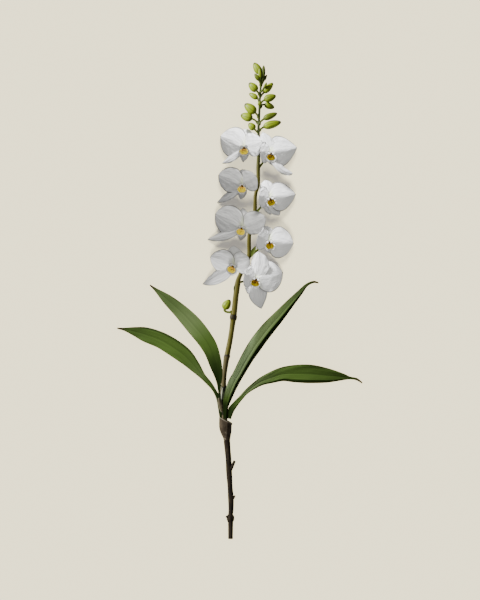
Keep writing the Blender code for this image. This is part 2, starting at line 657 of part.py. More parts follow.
def through(values, place):
    """A smooth curve through evenly spaced values, read at places counted in values."""
    values = np.asarray(values, float)
    cell = np.clip(np.floor(place).astype(int), 0, len(values) - 2)
    part = place - cell
    before = values[np.maximum(cell - 1, 0)]
    after = values[np.minimum(cell + 2, len(values) - 1)]
    low, high = values[cell], values[cell + 1]
    slope_low, slope_high = 0.5 * (high - before), 0.5 * (after - low)
    return (
        low * (1 + 2 * part) * (1 - part) ** 2
        + slope_low * part * (1 - part) ** 2
        + high * part ** 2 * (3 - 2 * part)
        - slope_high * part ** 2 * (1 - part)
    )


def leaf_points(ribs, fold, along, across):
    """Points of a leaf's face: a shallow channel, with the fold down its right side."""
    place = along * (len(ribs) - 1)
    columns = np.array(ribs)
    centre = np.stack([through(columns[:, axis], place) for axis in range(3)], axis=-1)
    width = through(columns[:, 3], place)
    turn = np.radians(through(columns[:, 4], place))[..., None]
    ahead = np.clip(place + TANGENT_STEP, 0.0, len(ribs) - 1.0)
    behind = np.clip(place - TANGENT_STEP, 0.0, len(ribs) - 1.0)
    steps = [through(columns[:, axis], ahead) - through(columns[:, axis], behind) for axis in range(3)]
    way = np.stack(steps, axis=-1)
    way = way / np.linalg.norm(way, axis=-1, keepdims=True)
    side = np.stack([-way[..., 1], way[..., 0], np.zeros_like(way[..., 0])], axis=-1)
    side = side / np.linalg.norm(side, axis=-1, keepdims=True)
    face = np.cross(way, side)
    leftwards = side * np.cos(turn) + face * np.sin(turn)
    out = face * np.cos(turn) - side * np.sin(turn)
    fold_start, fold_slope = fold
    drop = fold_slope * 0.5 * width * np.maximum(-across - fold_start, 0.0)
    height = LEAF_CHANNEL * width * np.abs(across) ** CHANNEL_POWER - drop
    return centre + leftwards * (0.5 * width * across)[..., None] + out * height[..., None]


def build_leaf(name, ribs, parts):
    """One strap leaf, from its clasping foot to its tip."""
    fold = LEAF_FOLDS.get(name, NO_FOLD)

    def points_at(along, across):
        return leaf_points(ribs, fold, along, across)
    return dressed(sheet(name, points_at, LEAF_CELLS, LEAF_WALL, (False, True), parts), "leaf_green")


def main():
    """Builds the flowering stem."""
    clear_scene()
    parts = bpy.data.collections.new(PART_NAME)
    scrap = bpy.data.collections.new("pieces to join")
    for collection in (parts, scrap):
        bpy.context.scene.collection.children.link(collection)
    build_cane(parts, scrap)
    sheath = tube("sheath", SHEATH, TUBE_RESOLUTION, parts)
    dressed(sheath, "sheath_brown")
    build_stalk(parts, scrap)
    for name, ribs in LEAVES.items():
        build_leaf(name, ribs, parts)
    for key, bloom in BLOOMS.items():
        build_bloom(key, bloom, parts, scrap)
        build_crest(key, bloom, parts)
    bpy.data.collections.remove(scrap)


main()
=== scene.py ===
"""A cut dendrobium orchid stem, dressed: petals, lips, leaves, stalk, buds, husk and cane.

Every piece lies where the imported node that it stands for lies, in the same frame: the stem
runs along Y with its bud tip at +Y, X goes across it and the blooms face up. Sizes are in
millimetres here, as in the part's own source, and become metres where a mesh is made.
"""

import logging
import math
from dataclasses import dataclass
from dataclasses import field
from enum import Enum
from typing import Callable
from typing import Optional
from typing import Sequence
from typing import Union

import bpy
import numpy as np
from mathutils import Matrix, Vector


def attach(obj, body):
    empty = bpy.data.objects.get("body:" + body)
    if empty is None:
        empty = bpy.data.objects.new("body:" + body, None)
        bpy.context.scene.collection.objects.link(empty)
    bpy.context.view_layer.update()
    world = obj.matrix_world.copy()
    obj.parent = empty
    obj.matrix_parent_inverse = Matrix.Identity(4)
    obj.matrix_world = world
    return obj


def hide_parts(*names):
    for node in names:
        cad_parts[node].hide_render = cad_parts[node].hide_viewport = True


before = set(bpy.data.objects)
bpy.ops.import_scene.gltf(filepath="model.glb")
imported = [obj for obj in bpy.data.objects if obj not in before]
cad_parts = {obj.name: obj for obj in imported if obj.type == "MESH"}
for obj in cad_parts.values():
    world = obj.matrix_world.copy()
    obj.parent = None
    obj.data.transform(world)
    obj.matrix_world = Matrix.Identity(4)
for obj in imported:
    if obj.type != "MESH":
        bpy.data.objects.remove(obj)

log = logging.getLogger("orchid")

MM = 0.001
ROOT_BODY = "root"
UV_NAME = "form"

Array = np.ndarray
Colour = tuple[float, float, float]
Point = tuple[float, float, float]
Number = Union[float, "Value"]


class Slot(Enum):
    """The record's material slots."""

    PETAL = "petal_white"
    LIP = "lip_gold"
    LEAF = "leaf_green"
    STALK = "stalk_green"
    CANE = "cane_brown"
    SHEATH = "sheath_brown"


class End(Enum):
    """How a body closes at its first or last row."""

    POINT = "all of the row is one point"
    FLAT = "a flat face closes the row"


# Shapes on a grid


@dataclass
class Patch:
    """Closed bodies as arrays: points, faces with their places on the form, and marks on points.

    Args:
        points: Places in millimetres, one row a point.
        quads: Point numbers of four-cornered faces.
        quad_places: Along and across places of the quads' corners, from 0 to 1.
        triangles: Point numbers of three-cornered faces.
        triangle_places: Along and across places of the triangles' corners.
        marks: Named values, one a point.
    """

    points: Array
    quads: Array
    quad_places: Array
    triangles: Array
    triangle_places: Array
    marks: dict[str, Array]


def ring_faces(rings: Array, places: Array) -> tuple[Array, Array, Array, Array]:
    """Faces between neighbouring rows of point numbers, with the collapsed corners taken out.

    Args:
        rings: Point numbers, one row a ring, its first column repeated at its end.
        places: Along and across places of the same points.

    Returns:
        Quads, their places, triangles and their places.
    """
    corners = ((0, 0), (1, 0), (1, 1), (0, 1))
    rows, columns = rings.shape[0] - 1, rings.shape[1] - 1
    faces = np.stack([rings[i:i + rows, j:j + columns] for i, j in corners], axis=-1).reshape(-1, 4)
    where = np.stack([places[i:i + rows, j:j + columns] for i, j in corners], axis=-2).reshape(-1, 4, 2)
    same = faces == np.roll(faces, -1, axis=1)
    whole = ~same.any(axis=1)
    folded = same.sum(axis=1) == 1
    kept = np.argsort(same[folded], axis=1, kind="stable")[:, :3]
    kept = np.sort(kept, axis=1)
    triangles = np.take_along_axis(faces[folded], kept, axis=1)
    triangle_places = np.take_along_axis(where[folded], kept[..., None], axis=1)
    return faces[whole], where[whole], triangles, triangle_places


def cap_faces(ring: Array, centre: int, places: Array, is_foot: bool) -> tuple[Array, Array]:
    """A fan of triangles from a row's middle point to its ring.

    Args:
        ring: Point numbers of the ring, its first repeated at its end.
        centre: Number of the middle point.
        places: Places of the ring's points.
        is_foot: Whether the face looks back along the body.

    Returns:
        Triangles and their places.
    """
    first, second = (ring[:-1], ring[1:]) if is_foot else (ring[1:], ring[:-1])
    one, two = (places[:-1], places[1:]) if is_foot else (places[1:], places[:-1])
    middle = np.full_like(first, centre)
    centre_place = np.broadcast_to(places.mean(axis=0), one.shape)
    return np.stack([middle, first, second], axis=1), np.stack([centre_place, one, two], axis=1)


def wrapped(points: Array, places: Array, marks: dict[str, Array], foot: End, tip: End) -> Patch:
    """A closed body from rings of points, each row one ring, joined to the next all the way round.

    Args:
        points: Places with the shape rows, ring, 3. Seen along the body a ring runs from its
            right side over its top to its left side and back underneath.
        places: Places on the form with the shape rows, ring + 1, 2.
        marks: Named values with the shape rows, ring.
        foot: How the first row closes.
        tip: How the last row closes.

    Returns:
        The body, with no loose points.
    """
    rows, ring = points.shape[:2]
    numbers = np.arange(rows * ring).reshape(rows, ring)
    numbers = np.concatenate([numbers, numbers[:, :1]], axis=1)
    for end, row in ((foot, 0), (tip, -1)):
        if end is End.POINT:
            numbers[row] = numbers[row, 0]
    quads, quad_places, triangles, triangle_places = ring_faces(numbers, places)
    flat_points = points.reshape(-1, 3)
    flat_marks = {name: values.reshape(-1) for name, values in marks.items()}
    for end, row in ((foot, 0), (tip, -1)):
        if end is End.FLAT:
            cap, cap_places = cap_faces(numbers[row], len(flat_points), places[row], row == 0)
            flat_points = np.vstack([flat_points, points[row].mean(axis=0)])
            flat_marks = {n: np.append(v, marks[n][row].mean()) for n, v in flat_marks.items()}
            triangles = np.vstack([triangles, cap])
            triangle_places = np.vstack([triangle_places, cap_places])
    used, renumbered = np.unique(np.concatenate([quads.ravel(), triangles.ravel()]), return_inverse=True)
    quads, triangles = renumbered[:quads.size].reshape(-1, 4), renumbered[quads.size:].reshape(-1, 3)
    kept_marks = {name: values[used] for name, values in flat_marks.items()}
    return Patch(flat_points[used], quads, quad_places, triangles, triangle_places, kept_marks)


def gathered(patches: Sequence[Patch]) -> Patch:
    """Several bodies as one set of arrays.

    Args:
        patches: The bodies, which all have the same marks.

    Returns:
        One patch of them all.
    """
    starts = np.cumsum([0] + [len(patch.points) for patch in patches[:-1]])
    return Patch(
        np.vstack([patch.points for patch in patches]),
        np.vstack([patch.quads + start for patch, start in zip(patches, starts)]),
        np.vstack([patch.quad_places for patch in patches]),
        np.vstack([patch.triangles + start for patch, start in zip(patches, starts)]),
        np.vstack([patch.triangle_places for patch in patches]),
        {name: np.concatenate([patch.marks[name] for patch in patches]) for name in patches[0].marks},
    )


SMOOTH_UP_TO = 50.0


def put_in(name: str, patch: Patch, material: bpy.types.Material, nodes: Sequence[str]) -> bpy.types.Object:
    """Makes the object of a patch, at the origin, riding on the part's one body.

    Args:
        name: The piece's name.
        patch: Its bodies.
        material: Its finish.
        nodes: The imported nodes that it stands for.

    Returns:
        The new object.
    """
    mesh = bpy.data.meshes.new(name)
    mesh.from_pydata((patch.points * MM).tolist(), [], patch.quads.tolist() + patch.triangles.tolist())
    layer = mesh.uv_layers.new(name=UV_NAME)
    places = np.concatenate([patch.quad_places.reshape(-1, 2), patch.triangle_places.reshape(-1, 2)])
    layer.data.foreach_set("uv", places.astype(np.float32).ravel())
    for mark, values in patch.marks.items():
        attribute = mesh.attributes.new(mark, "FLOAT", "POINT")
        attribute.data.foreach_set("value", values.astype(np.float32))
    mesh.materials.append(material)
    mesh.shade_smooth()
    mesh.set_sharp_from_angle(angle=math.radians(SMOOTH_UP_TO))
    mesh.update()
    piece = bpy.data.objects.new(name, mesh)
    bpy.context.scene.collection.objects.link(piece)
    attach(piece, ROOT_BODY)
    if nodes:
        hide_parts(*nodes)
    log.info("%s: %d points, %d faces", name, len(mesh.vertices), len(mesh.polygons))
    return piece


def through(values: Array, place: Array) -> Array:
    """A smooth curve through evenly spaced values.

    Between two values it is the cubic whose slope at each value is half the step from the
    value before to the value after.

    Args:
        values: The values that it passes through.
        place: Where to read it, counted in values.

    Returns:
        The curve's values.
    """
    cell = np.clip(np.floor(place).astype(int), 0, len(values) - 2)
    part = place - cell
    before = values[np.maximum(cell - 1, 0)]
    after = values[np.minimum(cell + 2, len(values) - 1)]
    low, high = values[cell], values[cell + 1]
    slope_low, slope_high = 0.5 * (high - before), 0.5 * (after - low)
    return (
        low * (1 + 2 * part) * (1 - part) ** 2
        + slope_low * part * (1 - part) ** 2
        + high * part ** 2 * (3 - 2 * part)
        - slope_high * part ** 2 * (1 - part)
    )


def eased(value: Array, low: float, high: float) -> Array:
    """Goes from 0 at low to 1 at high with no corner: 3s squared less 2s cubed of the share s."""
    share = np.clip((value - low) / (high - low), 0.0, 1.0)
    return share ** 2 * (3.0 - 2.0 * share)


def ripple(u: Array, v: Array, seed: int, count: int = 6, reach: float = 3.0) -> Array:
    """A gentle wave over a surface: the mean of sines with seeded ways and starts.

    Args:
        u: Places one way.
        v: Places the other way.
        seed: Which wave.
        count: How many sines.
        reach: The most turns that a sine makes over one unit.

    Returns:
        Values from about -1 to 1.
    """
    draw = np.random.default_rng(seed)
    ways = draw.uniform(-reach, reach, (count, 2))
    starts = draw.uniform(0.0, 2.0 * math.pi, count)
    total = np.zeros(np.broadcast(u, v).shape)
    for (one, two), start in zip(ways, starts):
        total = total + np.sin(2.0 * math.pi * (one * u + two * v) + start)
    return total / math.sqrt(count)


def unit(vectors: Array) -> Array:
    """The same vectors with a length of one."""
    return vectors / np.maximum(np.linalg.norm(vectors, axis=-1, keepdims=True), 1e-9)


# A thin blade and a round stem, the two forms that the plant is made of


def blade_ring(cells: int) -> tuple[Array, Array]:
    """Where the points of a blade's ring lie: over its face from right to left, and back under it.

    Args:
        cells: Cells across the blade.

    Returns:
        Places across from -1 to 1, and 1 for a point on top, -1 under and 0 at the two edges.
    """
    over = -np.cos(np.linspace(0.0, math.pi, cells + 1))
    under = over[-2:0:-1]
    side = np.concatenate([[0.0], np.ones(cells - 1), [0.0], -np.ones(cells - 1)])
    return np.concatenate([over, under]), side


@dataclass
class Middle:
    """A blade's middle face at rings of places, and the way out of it.

    Args:
        points: Places with the shape rows, ring, 3.
        out: The way that the upper face looks, with the same shape.
    """

    points: Array
    out: Array


def walled(
    along: Array,
    cells: int,
    middle_at: Callable[[Array, Array], Middle],
    wall: Callable[[Array, Array], Array],
    tint: Union[float, Callable[[Array, Array], Array]],
    foot: End,
) -> Patch:
    """A closed thin body round a middle face: each point stands off it by half the wall.

    Its rim mark is the distance to its outline, in millimetres.

    Args:
        along: Places of the rows, from 0 to 1.
        cells: Cells across.
        middle_at: Gives the middle face for grids of places along and across.
        wall: Gives the wall in millimetres for the same grids. It is shut at the edges.
        tint: A number from 0 to 1 that the finish may read, or a formula for it over the grids.
        foot: How the foot closes.

    Returns:
        The body.
    """
    across, side = blade_ring(cells)
    u = np.broadcast_to(along[:, None], (len(along), len(across)))
    v = np.broadcast_to(across[None, :], u.shape)
    face = middle_at(u, v)
    half = 0.5 * wall(u, v) * side[None, :]
    points = face.points + face.out * half[..., None]
    places = np.stack([u, 0.5 * (v + 1.0)], axis=-1)
    places = np.concatenate([places, places[:, :1]], axis=1)
    borders = (points[:, :1], points[:, cells:cells + 1], points[-1:, :1])
    marks = {
        "rim": np.min([np.linalg.norm(points - border, axis=-1) for border in borders], axis=0),
        "under": np.broadcast_to(np.clip(-side, 0.0, 1.0)[None, :], u.shape),
        "tint": tint(u, v) if callable(tint) else np.full(u.shape, tint),
    }
    return wrapped(points, places, marks, foot, End.POINT)


def sweep(centre: Array, radius: Array, turns: int, foot: End, tip: End, tint: float, up: Array) -> Patch:
    """A round body along a line: each ring stands square to the line, at its own radius.

    Args:
        centre: The line's points, with the shape rows, 3.
        radius: The radius with the shape rows, turns.
        turns: Points round a ring.
        foot: How the first row closes.
        tip: How the last row closes.
        tint: A number that the finish may read.
        up: A way that the rings' tops lean to.

    Returns:
        The body.
    """
    ahead = unit(np.gradient(centre, axis=0))
    side = unit(np.cross(up, ahead))
    top = np.cross(ahead, side)
    angle = 2.0 * math.pi * np.arange(turns) / turns
    spoke = -np.cos(angle)[None, :, None] * side[:, None, :] + np.sin(angle)[None, :, None] * top[:, None, :]
    points = centre[:, None, :] + spoke * radius[..., None]
    length = np.concatenate([[0.0], np.cumsum(np.linalg.norm(np.diff(centre, axis=0), axis=1))])
    u = np.broadcast_to((length / length[-1])[:, None], (len(centre), turns + 1))
    v = np.broadcast_to(np.linspace(0.0, 1.0, turns + 1)[None, :], u.shape)
    marks = {
        "rim": np.full(points.shape[:2], FAR_FROM_RIM),
        "under": u[:, :-1],
        "tint": np.full(points.shape[:2], tint),
    }
    return wrapped(points, np.stack([u, v], axis=-1), marks, foot, tip)


UPWARDS = np.array([0.0, 0.0, 1.0])
FAR_FROM_RIM = 9.0


@dataclass(frozen=True)
class Knot:
    """A point on a stem's middle line and how thick the stem is there, in millimetres."""

    x: float
    y: float
    z: float
    across: float


def stem_line(knots: Sequence[Knot], steps: int) -> tuple[Array, Array]:
    """A stem's middle line and thickness, read evenly along the way between its knots.

    Args:
        knots: The knots, foot first.
        steps: How many rows to read.

    Returns:
        Points of the line and the radius at each.
    """
    table = np.array([[knot.x, knot.y, knot.z, knot.across] for knot in knots])
    way = np.concatenate([[0.0], np.cumsum(np.linalg.norm(np.diff(table[:, :3], axis=0), axis=1))])
    at = np.linspace(0.0, way[-1], steps)
    place = np.interp(at, way, np.arange(len(knots), dtype=float))
    smooth = np.stack([through(table[:, column], place) for column in range(4)], axis=1)
    return smooth[:, :3], 0.5 * smooth[:, 3]


def ovoid(foot: Array, tip: Array, across: float, taper: float, cells: tuple[int, int], tint: float,
          groove: float = 0.0, up: Array = UPWARDS) -> Patch:
    """An egg from foot to tip, with three shallow seams where its outer leaves meet.

    Its radius is half its thickness times the root of 1 less z squared, times 1 less the taper
    times z, with z from -1 at the foot to 1 at the tip.

    Args:
        foot: Where it starts.
        tip: Where it ends.
        across: Its thickness.
        taper: How much thinner it is towards the tip.
        cells: Rows and points round.
        tint: A number that the finish may read.
        groove: How deep the seams are, as a share of the radius.
        up: A way that the rings' tops lean to.

    Returns:
        The body.
    """
    rows, turns = cells
    z = -np.cos(np.linspace(0.0, math.pi, rows))
    centre = foot + (tip - foot) * (0.5 * (z + 1.0))[:, None]
    angle = 2.0 * math.pi * np.arange(turns) / turns
    seam = np.exp(-((np.abs(np.sin(1.5 * angle + 0.6)) / 0.22) ** 2))
    lobe = 1.0 - groove * seam[None, :] * np.sqrt(1.0 - z ** 2)[:, None]
    radius = (0.5 * across * (1.0 - taper * z) * np.sqrt(1.0 - z ** 2))[:, None] * lobe
    return sweep(centre, radius, turns, End.POINT, End.POINT, tint, up)


# Shader maths


class Value:
    """A number that varies over a surface. Arithmetic on it adds Math nodes."""

    def __init__(self, painter: "Painter", socket: bpy.types.NodeSocket) -> None:
        """Wraps one output socket of a painter's material."""
        self.painter = painter
        self.socket = socket

    def _math(self, operation: str, *numbers: Number) -> "Value":
        """A Math node on some numbers, the first of which may be this one."""
        made = self.painter.node("ShaderNodeMath", {"operation": operation}, dict(enumerate(numbers)))
        return Value(self.painter, made.outputs[0])

    def __add__(self, other: Number) -> "Value":
        """The sum."""
        return self._math("ADD", self, other)

    def __radd__(self, other: Number) -> "Value":
        """The sum, with a plain number first."""
        return self._math("ADD", other, self)

    def __sub__(self, other: Number) -> "Value":
        """The difference."""
        return self._math("SUBTRACT", self, other)

    def __rsub__(self, other: Number) -> "Value":
        """The difference, with a plain number first."""
        return self._math("SUBTRACT", other, self)

    def __mul__(self, other: Number) -> "Value":
        """The product."""
        return self._math("MULTIPLY", self, other)

    def __rmul__(self, other: Number) -> "Value":
        """The product, with a plain number first."""
        return self._math("MULTIPLY", other, self)

    def __pow__(self, other: Number) -> "Value":
        """The power."""
        return self._math("POWER", self, other)

    def __abs__(self) -> "Value":
        """The size without its sign."""
        return self._math("ABSOLUTE", self)

    def sine(self) -> "Value":
        """The sine, in radians."""
        return self._math("SINE", self)

    def eased(self, low: float, high: float) -> "Value":
        """Goes from 0 at low to 1 at high with no corner."""
        settings = {"interpolation_type": "SMOOTHSTEP"}
        made = self.painter.node("ShaderNodeMapRange", settings, {"Value": self, "From Min": low, "From Max": high})
        return Value(self.painter, made.outputs["Result"])

    def least(self, other: Number) -> "Value":
        """The smaller of two."""
        return self._math("MINIMUM", self, other)

    def most(self, other: Number) -> "Value":
        """The larger of two."""
        return self._math("MAXIMUM", self, other)


Paint = Union[Colour, bpy.types.NodeSocket]


class Painter:
    """Builds one material of nodes round a Principled shader."""

    def __init__(self, name: str, **constants: float) -> None:
        """Starts the material.

        Args:
            name: The material's name.
            constants: Shader sockets that are the same all over, with _ for a space.
        """
        self.material = bpy.data.materials.new(name)
        self.material.use_nodes = True
        self.tree = self.material.node_tree
        self.shader = self.tree.nodes["Principled BSDF"]
        for socket, value in constants.items():
            self.shader.inputs[socket.replace("_", " ")].default_value = value

    def node(self, kind: str, settings: dict[str, object], inputs: dict[Union[int, str], object]) -> bpy.types.Node:
        """Adds a node.

        Args:
            kind: The node's type.
            settings: Its own settings, set before its sockets.
            inputs: Values, colours or links for its sockets, by name or number.

        Returns:
            The node.
        """
        made = self.tree.nodes.new(kind)
        for setting, value in settings.items():
            setattr(made, setting, value)
        for key, value in inputs.items():
            self.feed(made.inputs[key], value)
        return made

    def feed(self, socket: bpy.types.NodeSocket, value: object) -> None:
        """Links or sets one socket.

        Args:
            socket: The socket to feed.
            value: A Value, a socket, a number or a colour.
        """
        if isinstance(value, Value):
            self.tree.links.new(value.socket, socket)
        elif isinstance(value, bpy.types.NodeSocket):
            self.tree.links.new(value, socket)
        elif isinstance(value, tuple) and len(value) == 3 and socket.type == "RGBA":
            socket.default_value = (*value, 1.0)
        else:
            socket.default_value = value

    def form(self) -> tuple[Value, Value]:
        """Places on the form: along from 0 at the foot to 1 at the tip, and across from 0 to 1."""
        place = self.node("ShaderNodeUVMap", {"uv_map": UV_NAME}, {})
        split = self.node("ShaderNodeSeparateXYZ", {}, {"Vector": place.outputs["UV"]})
        return Value(self, split.outputs["X"]), Value(self, split.outputs["Y"])

    def mark(self, name: str) -> Value:
        """A mark of the piece's points."""
        found = self.node("ShaderNodeAttribute", {"attribute_name": name, "attribute_type": "GEOMETRY"}, {})
        return Value(self, found.outputs["Fac"])

    def spot(self) -> tuple[bpy.types.NodeSocket, Value, Value, Value]:
        """Object coordinates, whole and as X, Y and Z in metres."""
        place = self.node("ShaderNodeTexCoord", {}, {}).outputs["Object"]
        split = self.node("ShaderNodeSeparateXYZ", {}, {"Vector": place})
        return place, Value(self, split.outputs["X"]), Value(self, split.outputs["Y"]), Value(self, split.outputs["Z"])

    def noise(self, scales: Point, detail: float = 3.0, rough: float = 0.55) -> Value:
        """Cloudy noise from 0 to 1 over object coordinates, with its own scale each way per metre."""
        place = self.node("ShaderNodeTexCoord", {}, {}).outputs["Object"]
        scaled = self.node("ShaderNodeMapping", {"vector_type": "POINT"}, {"Vector": place, "Scale": scales})
        made = self.node("ShaderNodeTexNoise", {}, {
            "Vector": scaled.outputs["Vector"], "Scale": 1.0, "Detail": detail, "Roughness": rough,
        })
        return Value(self, made.outputs["Fac"])

    def form_noise(self, along: float, across: float, detail: float = 2.0) -> Value:
        """Cloudy noise over the form, which follows a bent blade."""
        place = self.node("ShaderNodeUVMap", {"uv_map": UV_NAME}, {}).outputs["UV"]
        scaled = self.node("ShaderNodeMapping", {"vector_type": "POINT"}, {
            "Vector": place, "Scale": (along, across, 1.0),
        })
        made = self.node("ShaderNodeTexNoise", {}, {
            "Vector": scaled.outputs["Vector"], "Scale": 1.0, "Detail": detail, "Roughness": 0.5,
        })
        return Value(self, made.outputs["Fac"])

    def mix(self, share: Number, one: Paint, other: Paint) -> bpy.types.NodeSocket:
        """Goes from one colour to another as the share goes from 0 to 1."""
        made = self.node("ShaderNodeMix", {"data_type": "RGBA", "clamp_factor": True}, {0: share, 6: one, 7: other})
        return made.outputs[2]

    def scaled(self, colour: Paint, amount: Number) -> bpy.types.NodeSocket:
        """A colour made lighter or darker by an amount."""
        made = self.node("ShaderNodeVectorMath", {"operation": "SCALE"}, {0: colour, "Scale": amount})
        return made.outputs["Vector"]

    def bump(self, height: Value, distance: float, strength: float = 1.0) -> None:
        """Raises the surface by a height in units of the distance, in metres."""
        made = self.node("ShaderNodeBump", {}, {"Height": height, "Distance": distance, "Strength": strength})
        self.feed(self.shader.inputs["Normal"], made.outputs["Normal"])

    def done(self, colour: Paint, roughness: Number) -> bpy.types.Material:
        """Feeds the shader's colour and roughness.

        Args:
            colour: Base colour.
            roughness: Roughness.

        Returns:
            The material.
        """
        self.feed(self.shader.inputs["Base Color"], colour)
        self.feed(self.shader.inputs["Roughness"], roughness)
        return self.material


def veins(along: Value, across: Value, count: float, wander: Value, sharpness: float) -> Value:
    """Fine lines along a blade: the sine of its place across, folded and raised to a power.

    Args:
        along: Place along, which lets the lines fade at the foot and tip.
        across: Place across from 0 to 1.
        count: How many lines.
        wander: Noise that bends them.
        sharpness: The power, higher for thinner lines.

    Returns:
        1 on a line, 0 between lines.
    """
    wave = abs(((across + (wander - 0.5) * 0.05) * (math.pi * count)).sine())
    line = (1.0 - wave) ** sharpness
    return line * along.eased(0.0, 0.15) * (1.0 - along.eased(0.8, 1.0))


# Finishes


@dataclass(frozen=True)
class PetalFinish:
    """Cool white petal with hairline veins, a grey rim of painted shade along its outline and a green-yellow foot.

    The piece's tint says how faint its painted rim shade is, from 0 to 1.
    """

    white: Colour = (0.86, 0.86, 0.86)
    # rim: painted shade along the outline
    rim: Colour = (0.15, 0.145, 0.135)
    foot: Colour = (0.74, 0.78, 0.55)
    vein: float = 0.90
    roughness: float = 0.5

    def material(self) -> bpy.types.Material:
        """Builds the material."""
        paint = Painter("petal", Specular_IOR_Level=0.35, Sheen_Weight=0.15, Subsurface_Weight=0.0)
        along, across = paint.form()
        wander = paint.form_noise(3.0, 2.0)
        lines = veins(along, across, 11.0, wander, 7.0)
        cloud = paint.noise((90.0, 90.0, 90.0))
        folds = paint.form_noise(1.6, 5.0, 2.0)
        body = paint.mix(1.0 - along.eased(0.02, 0.2), self.white, self.foot)
        # Painted shade: a grey line along the outline, darkest on the outer petal and faintest on the sepals.
        rim_shade_share = 0.9 - paint.mark("tint") * 0.5
        body = paint.mix((1.0 - paint.mark("rim").eased(0.8, 1.7)) * rim_shade_share, body, self.rim)
        shade = (1.0 - lines * (1.0 - self.vein)) * (0.97 + cloud * 0.05)
        grain = paint.noise((1400.0, 1400.0, 1400.0), 2.0)
        paint.bump(lines * 0.05 + grain * 0.02 + cloud * 0.5 + folds * 0.9, 0.0022, 0.8)
        return paint.done(paint.scaled(body, shade), self.roughness + cloud * 0.08)


@dataclass(frozen=True)
class CrestFinish:
    """Gold crest with an orange-brown throat, brown flecks, a brown middle that is partly painted shade, and a pale
    rim.

    The piece's tint says how dark its throat is, from 0 to 1: partly its own orange and brown, partly painted shade in
    the throat's opening.
    """

    gold: Colour = (0.25, 0.184, 0.0008)
    orange: Colour = (0.16, 0.055, 0.0004)
    brown: Colour = (0.014, 0.006, 0.001)
    cream: Colour = (0.42, 0.32, 0.02)
    roughness: float = 0.5

    def material(self) -> bpy.types.Material:
        """Builds the material."""
        paint = Painter("crest", Specular_IOR_Level=0.06)
        along, across = paint.form()
        fleck = paint.noise((900.0, 900.0, 900.0), 3.0, 0.7)
        patch = paint.noise((330.0, 330.0, 330.0), 2.0)
        deep = paint.mark("tint")
        throat = 1.0 - (along + (patch - 0.5) * 0.9).eased(0.0, 0.45 + deep * 0.3)
        body = paint.mix(throat * 0.9, self.gold, self.orange)
        spots = (fleck + deep * 0.05).eased(0.52, 0.60) * (1.0 - along.eased(0.45, 0.95))
        # A brown patch in the middle: partly the crest's own brown, partly painted shade of the throat's opening.
        middle = (1.0 - abs(along - 0.38).eased(0.04, 0.20)) * (1.0 - abs(across - 0.56).eased(0.03, 0.13))
        body = paint.mix(spots.most(middle * (0.25 + deep * 0.65)), body, self.brown)
        body = paint.mix((1.0 - paint.mark("rim").eased(0.15, 0.9)) * 0.75, body, self.cream)
        paint.bump(fleck, 0.00025, 0.7)
        return paint.done(body, self.roughness + patch * 0.1)


@dataclass(frozen=True)
class ColumnFinish:
    """Waxy white column, with a pale yellow-green throat side and a gold-brown cap, whose brown is partly painted shade
    of the throat's opening.
    """

    white: Colour = (0.80, 0.80, 0.76)
    green: Colour = (0.62, 0.66, 0.28)
    brown: Colour = (0.15, 0.080, 0.004)
    roughness: float = 0.45

    def material(self) -> bpy.types.Material:
        """Builds the material."""
        paint = Painter("column", Specular_IOR_Level=0.2)
        along, across = paint.form()
        cloud = paint.noise((400.0, 400.0, 400.0))
        below = abs(across - 0.5).eased(0.36, 0.48)
        body = paint.mix(below * (1.0 - along.eased(0.4, 0.9)), self.white, self.green)
        # The cap's brown is partly painted shade: it stands for the dark opening of the throat.
        body = paint.mix(paint.mark("tint") * (along + cloud * 0.4).eased(0.35, 0.7), body, self.brown)
        paint.bump(cloud, 0.0002, 0.5)
        return paint.done(paint.scaled(body, 0.96 + cloud * 0.06), self.roughness)


@dataclass(frozen=True)
class LeafFinish:
    """Leathery leaf: mid green with parallel veins, a dark foot, painted shade over its outer part and a brown tip.

    The piece's tint runs from 0, darkest, through 0.5 and 1.4 to 2.4, a pale grey-green; the lighter, greyer greens of
    its high end are a painted sheen.
    """

    dark: Colour = (0.0068, 0.0132, 0.0024)
    mid: Colour = (0.0385, 0.068, 0.0118)
    fresh: Colour = (0.083, 0.115, 0.042)
    pale: Colour = (0.150, 0.206, 0.092)
    under: Colour = (0.045, 0.085, 0.028)
    tip: Colour = (0.022, 0.012, 0.006)
    rim: Colour = (0.013, 0.015, 0.004)
    roughness: float = 0.58

    def material(self) -> bpy.types.Material:
        """Builds the material."""
        paint = Painter("leaf", Specular_IOR_Level=0.02)
        along, across = paint.form()
        wander = paint.form_noise(4.0, 1.5)
        lines = veins(along, across, 15.0, wander, 2.0)
        fine = veins(along, across, 52.0, wander, 1.0)
        streak = paint.form_noise(5.0, 22.0, 3.0)
        cloud = paint.noise((28.0, 28.0, 28.0), 3.0)
        tint = paint.mark("tint") + (cloud - 0.5) * 0.35
        body = paint.mix(tint.eased(0.5, 1.4), self.mid, self.fresh)
        # Painted sheen: the pale grey-green where the tint is high.
        body = paint.mix(tint.eased(1.4, 2.4), body, self.pale)
        body = paint.mix(paint.mark("under"), body, self.under)
        body = paint.mix(1.0 - tint.eased(0.0, 0.55), body, self.dark)
        rib = 1.0 - abs(across - 0.5).eased(0.0, 0.03)
        body = paint.mix(rib * 0.3, body, self.dark)
        body = paint.mix((1.0 - paint.mark("rim").eased(0.2, 0.75)) * 0.8, body, self.rim)
        body = paint.mix((along + (streak - 0.5) * 0.05).eased(0.885, 0.975), body, self.tip)
        shade = (0.85 + streak * 0.3) * (1.0 - lines * 0.14) * (1.0 - fine * 0.08)
        # Painted shade: darker over the outer part of the leaf, where it slopes towards the light.
        shade = shade * (1.0 - along.eased(0.60, 0.88) * 0.5)
        paint.bump(0.6 * lines + 0.25 * fine + streak * 0.5, 0.00016, 0.9)
        return paint.done(paint.scaled(body, shade), self.roughness + streak * 0.12)


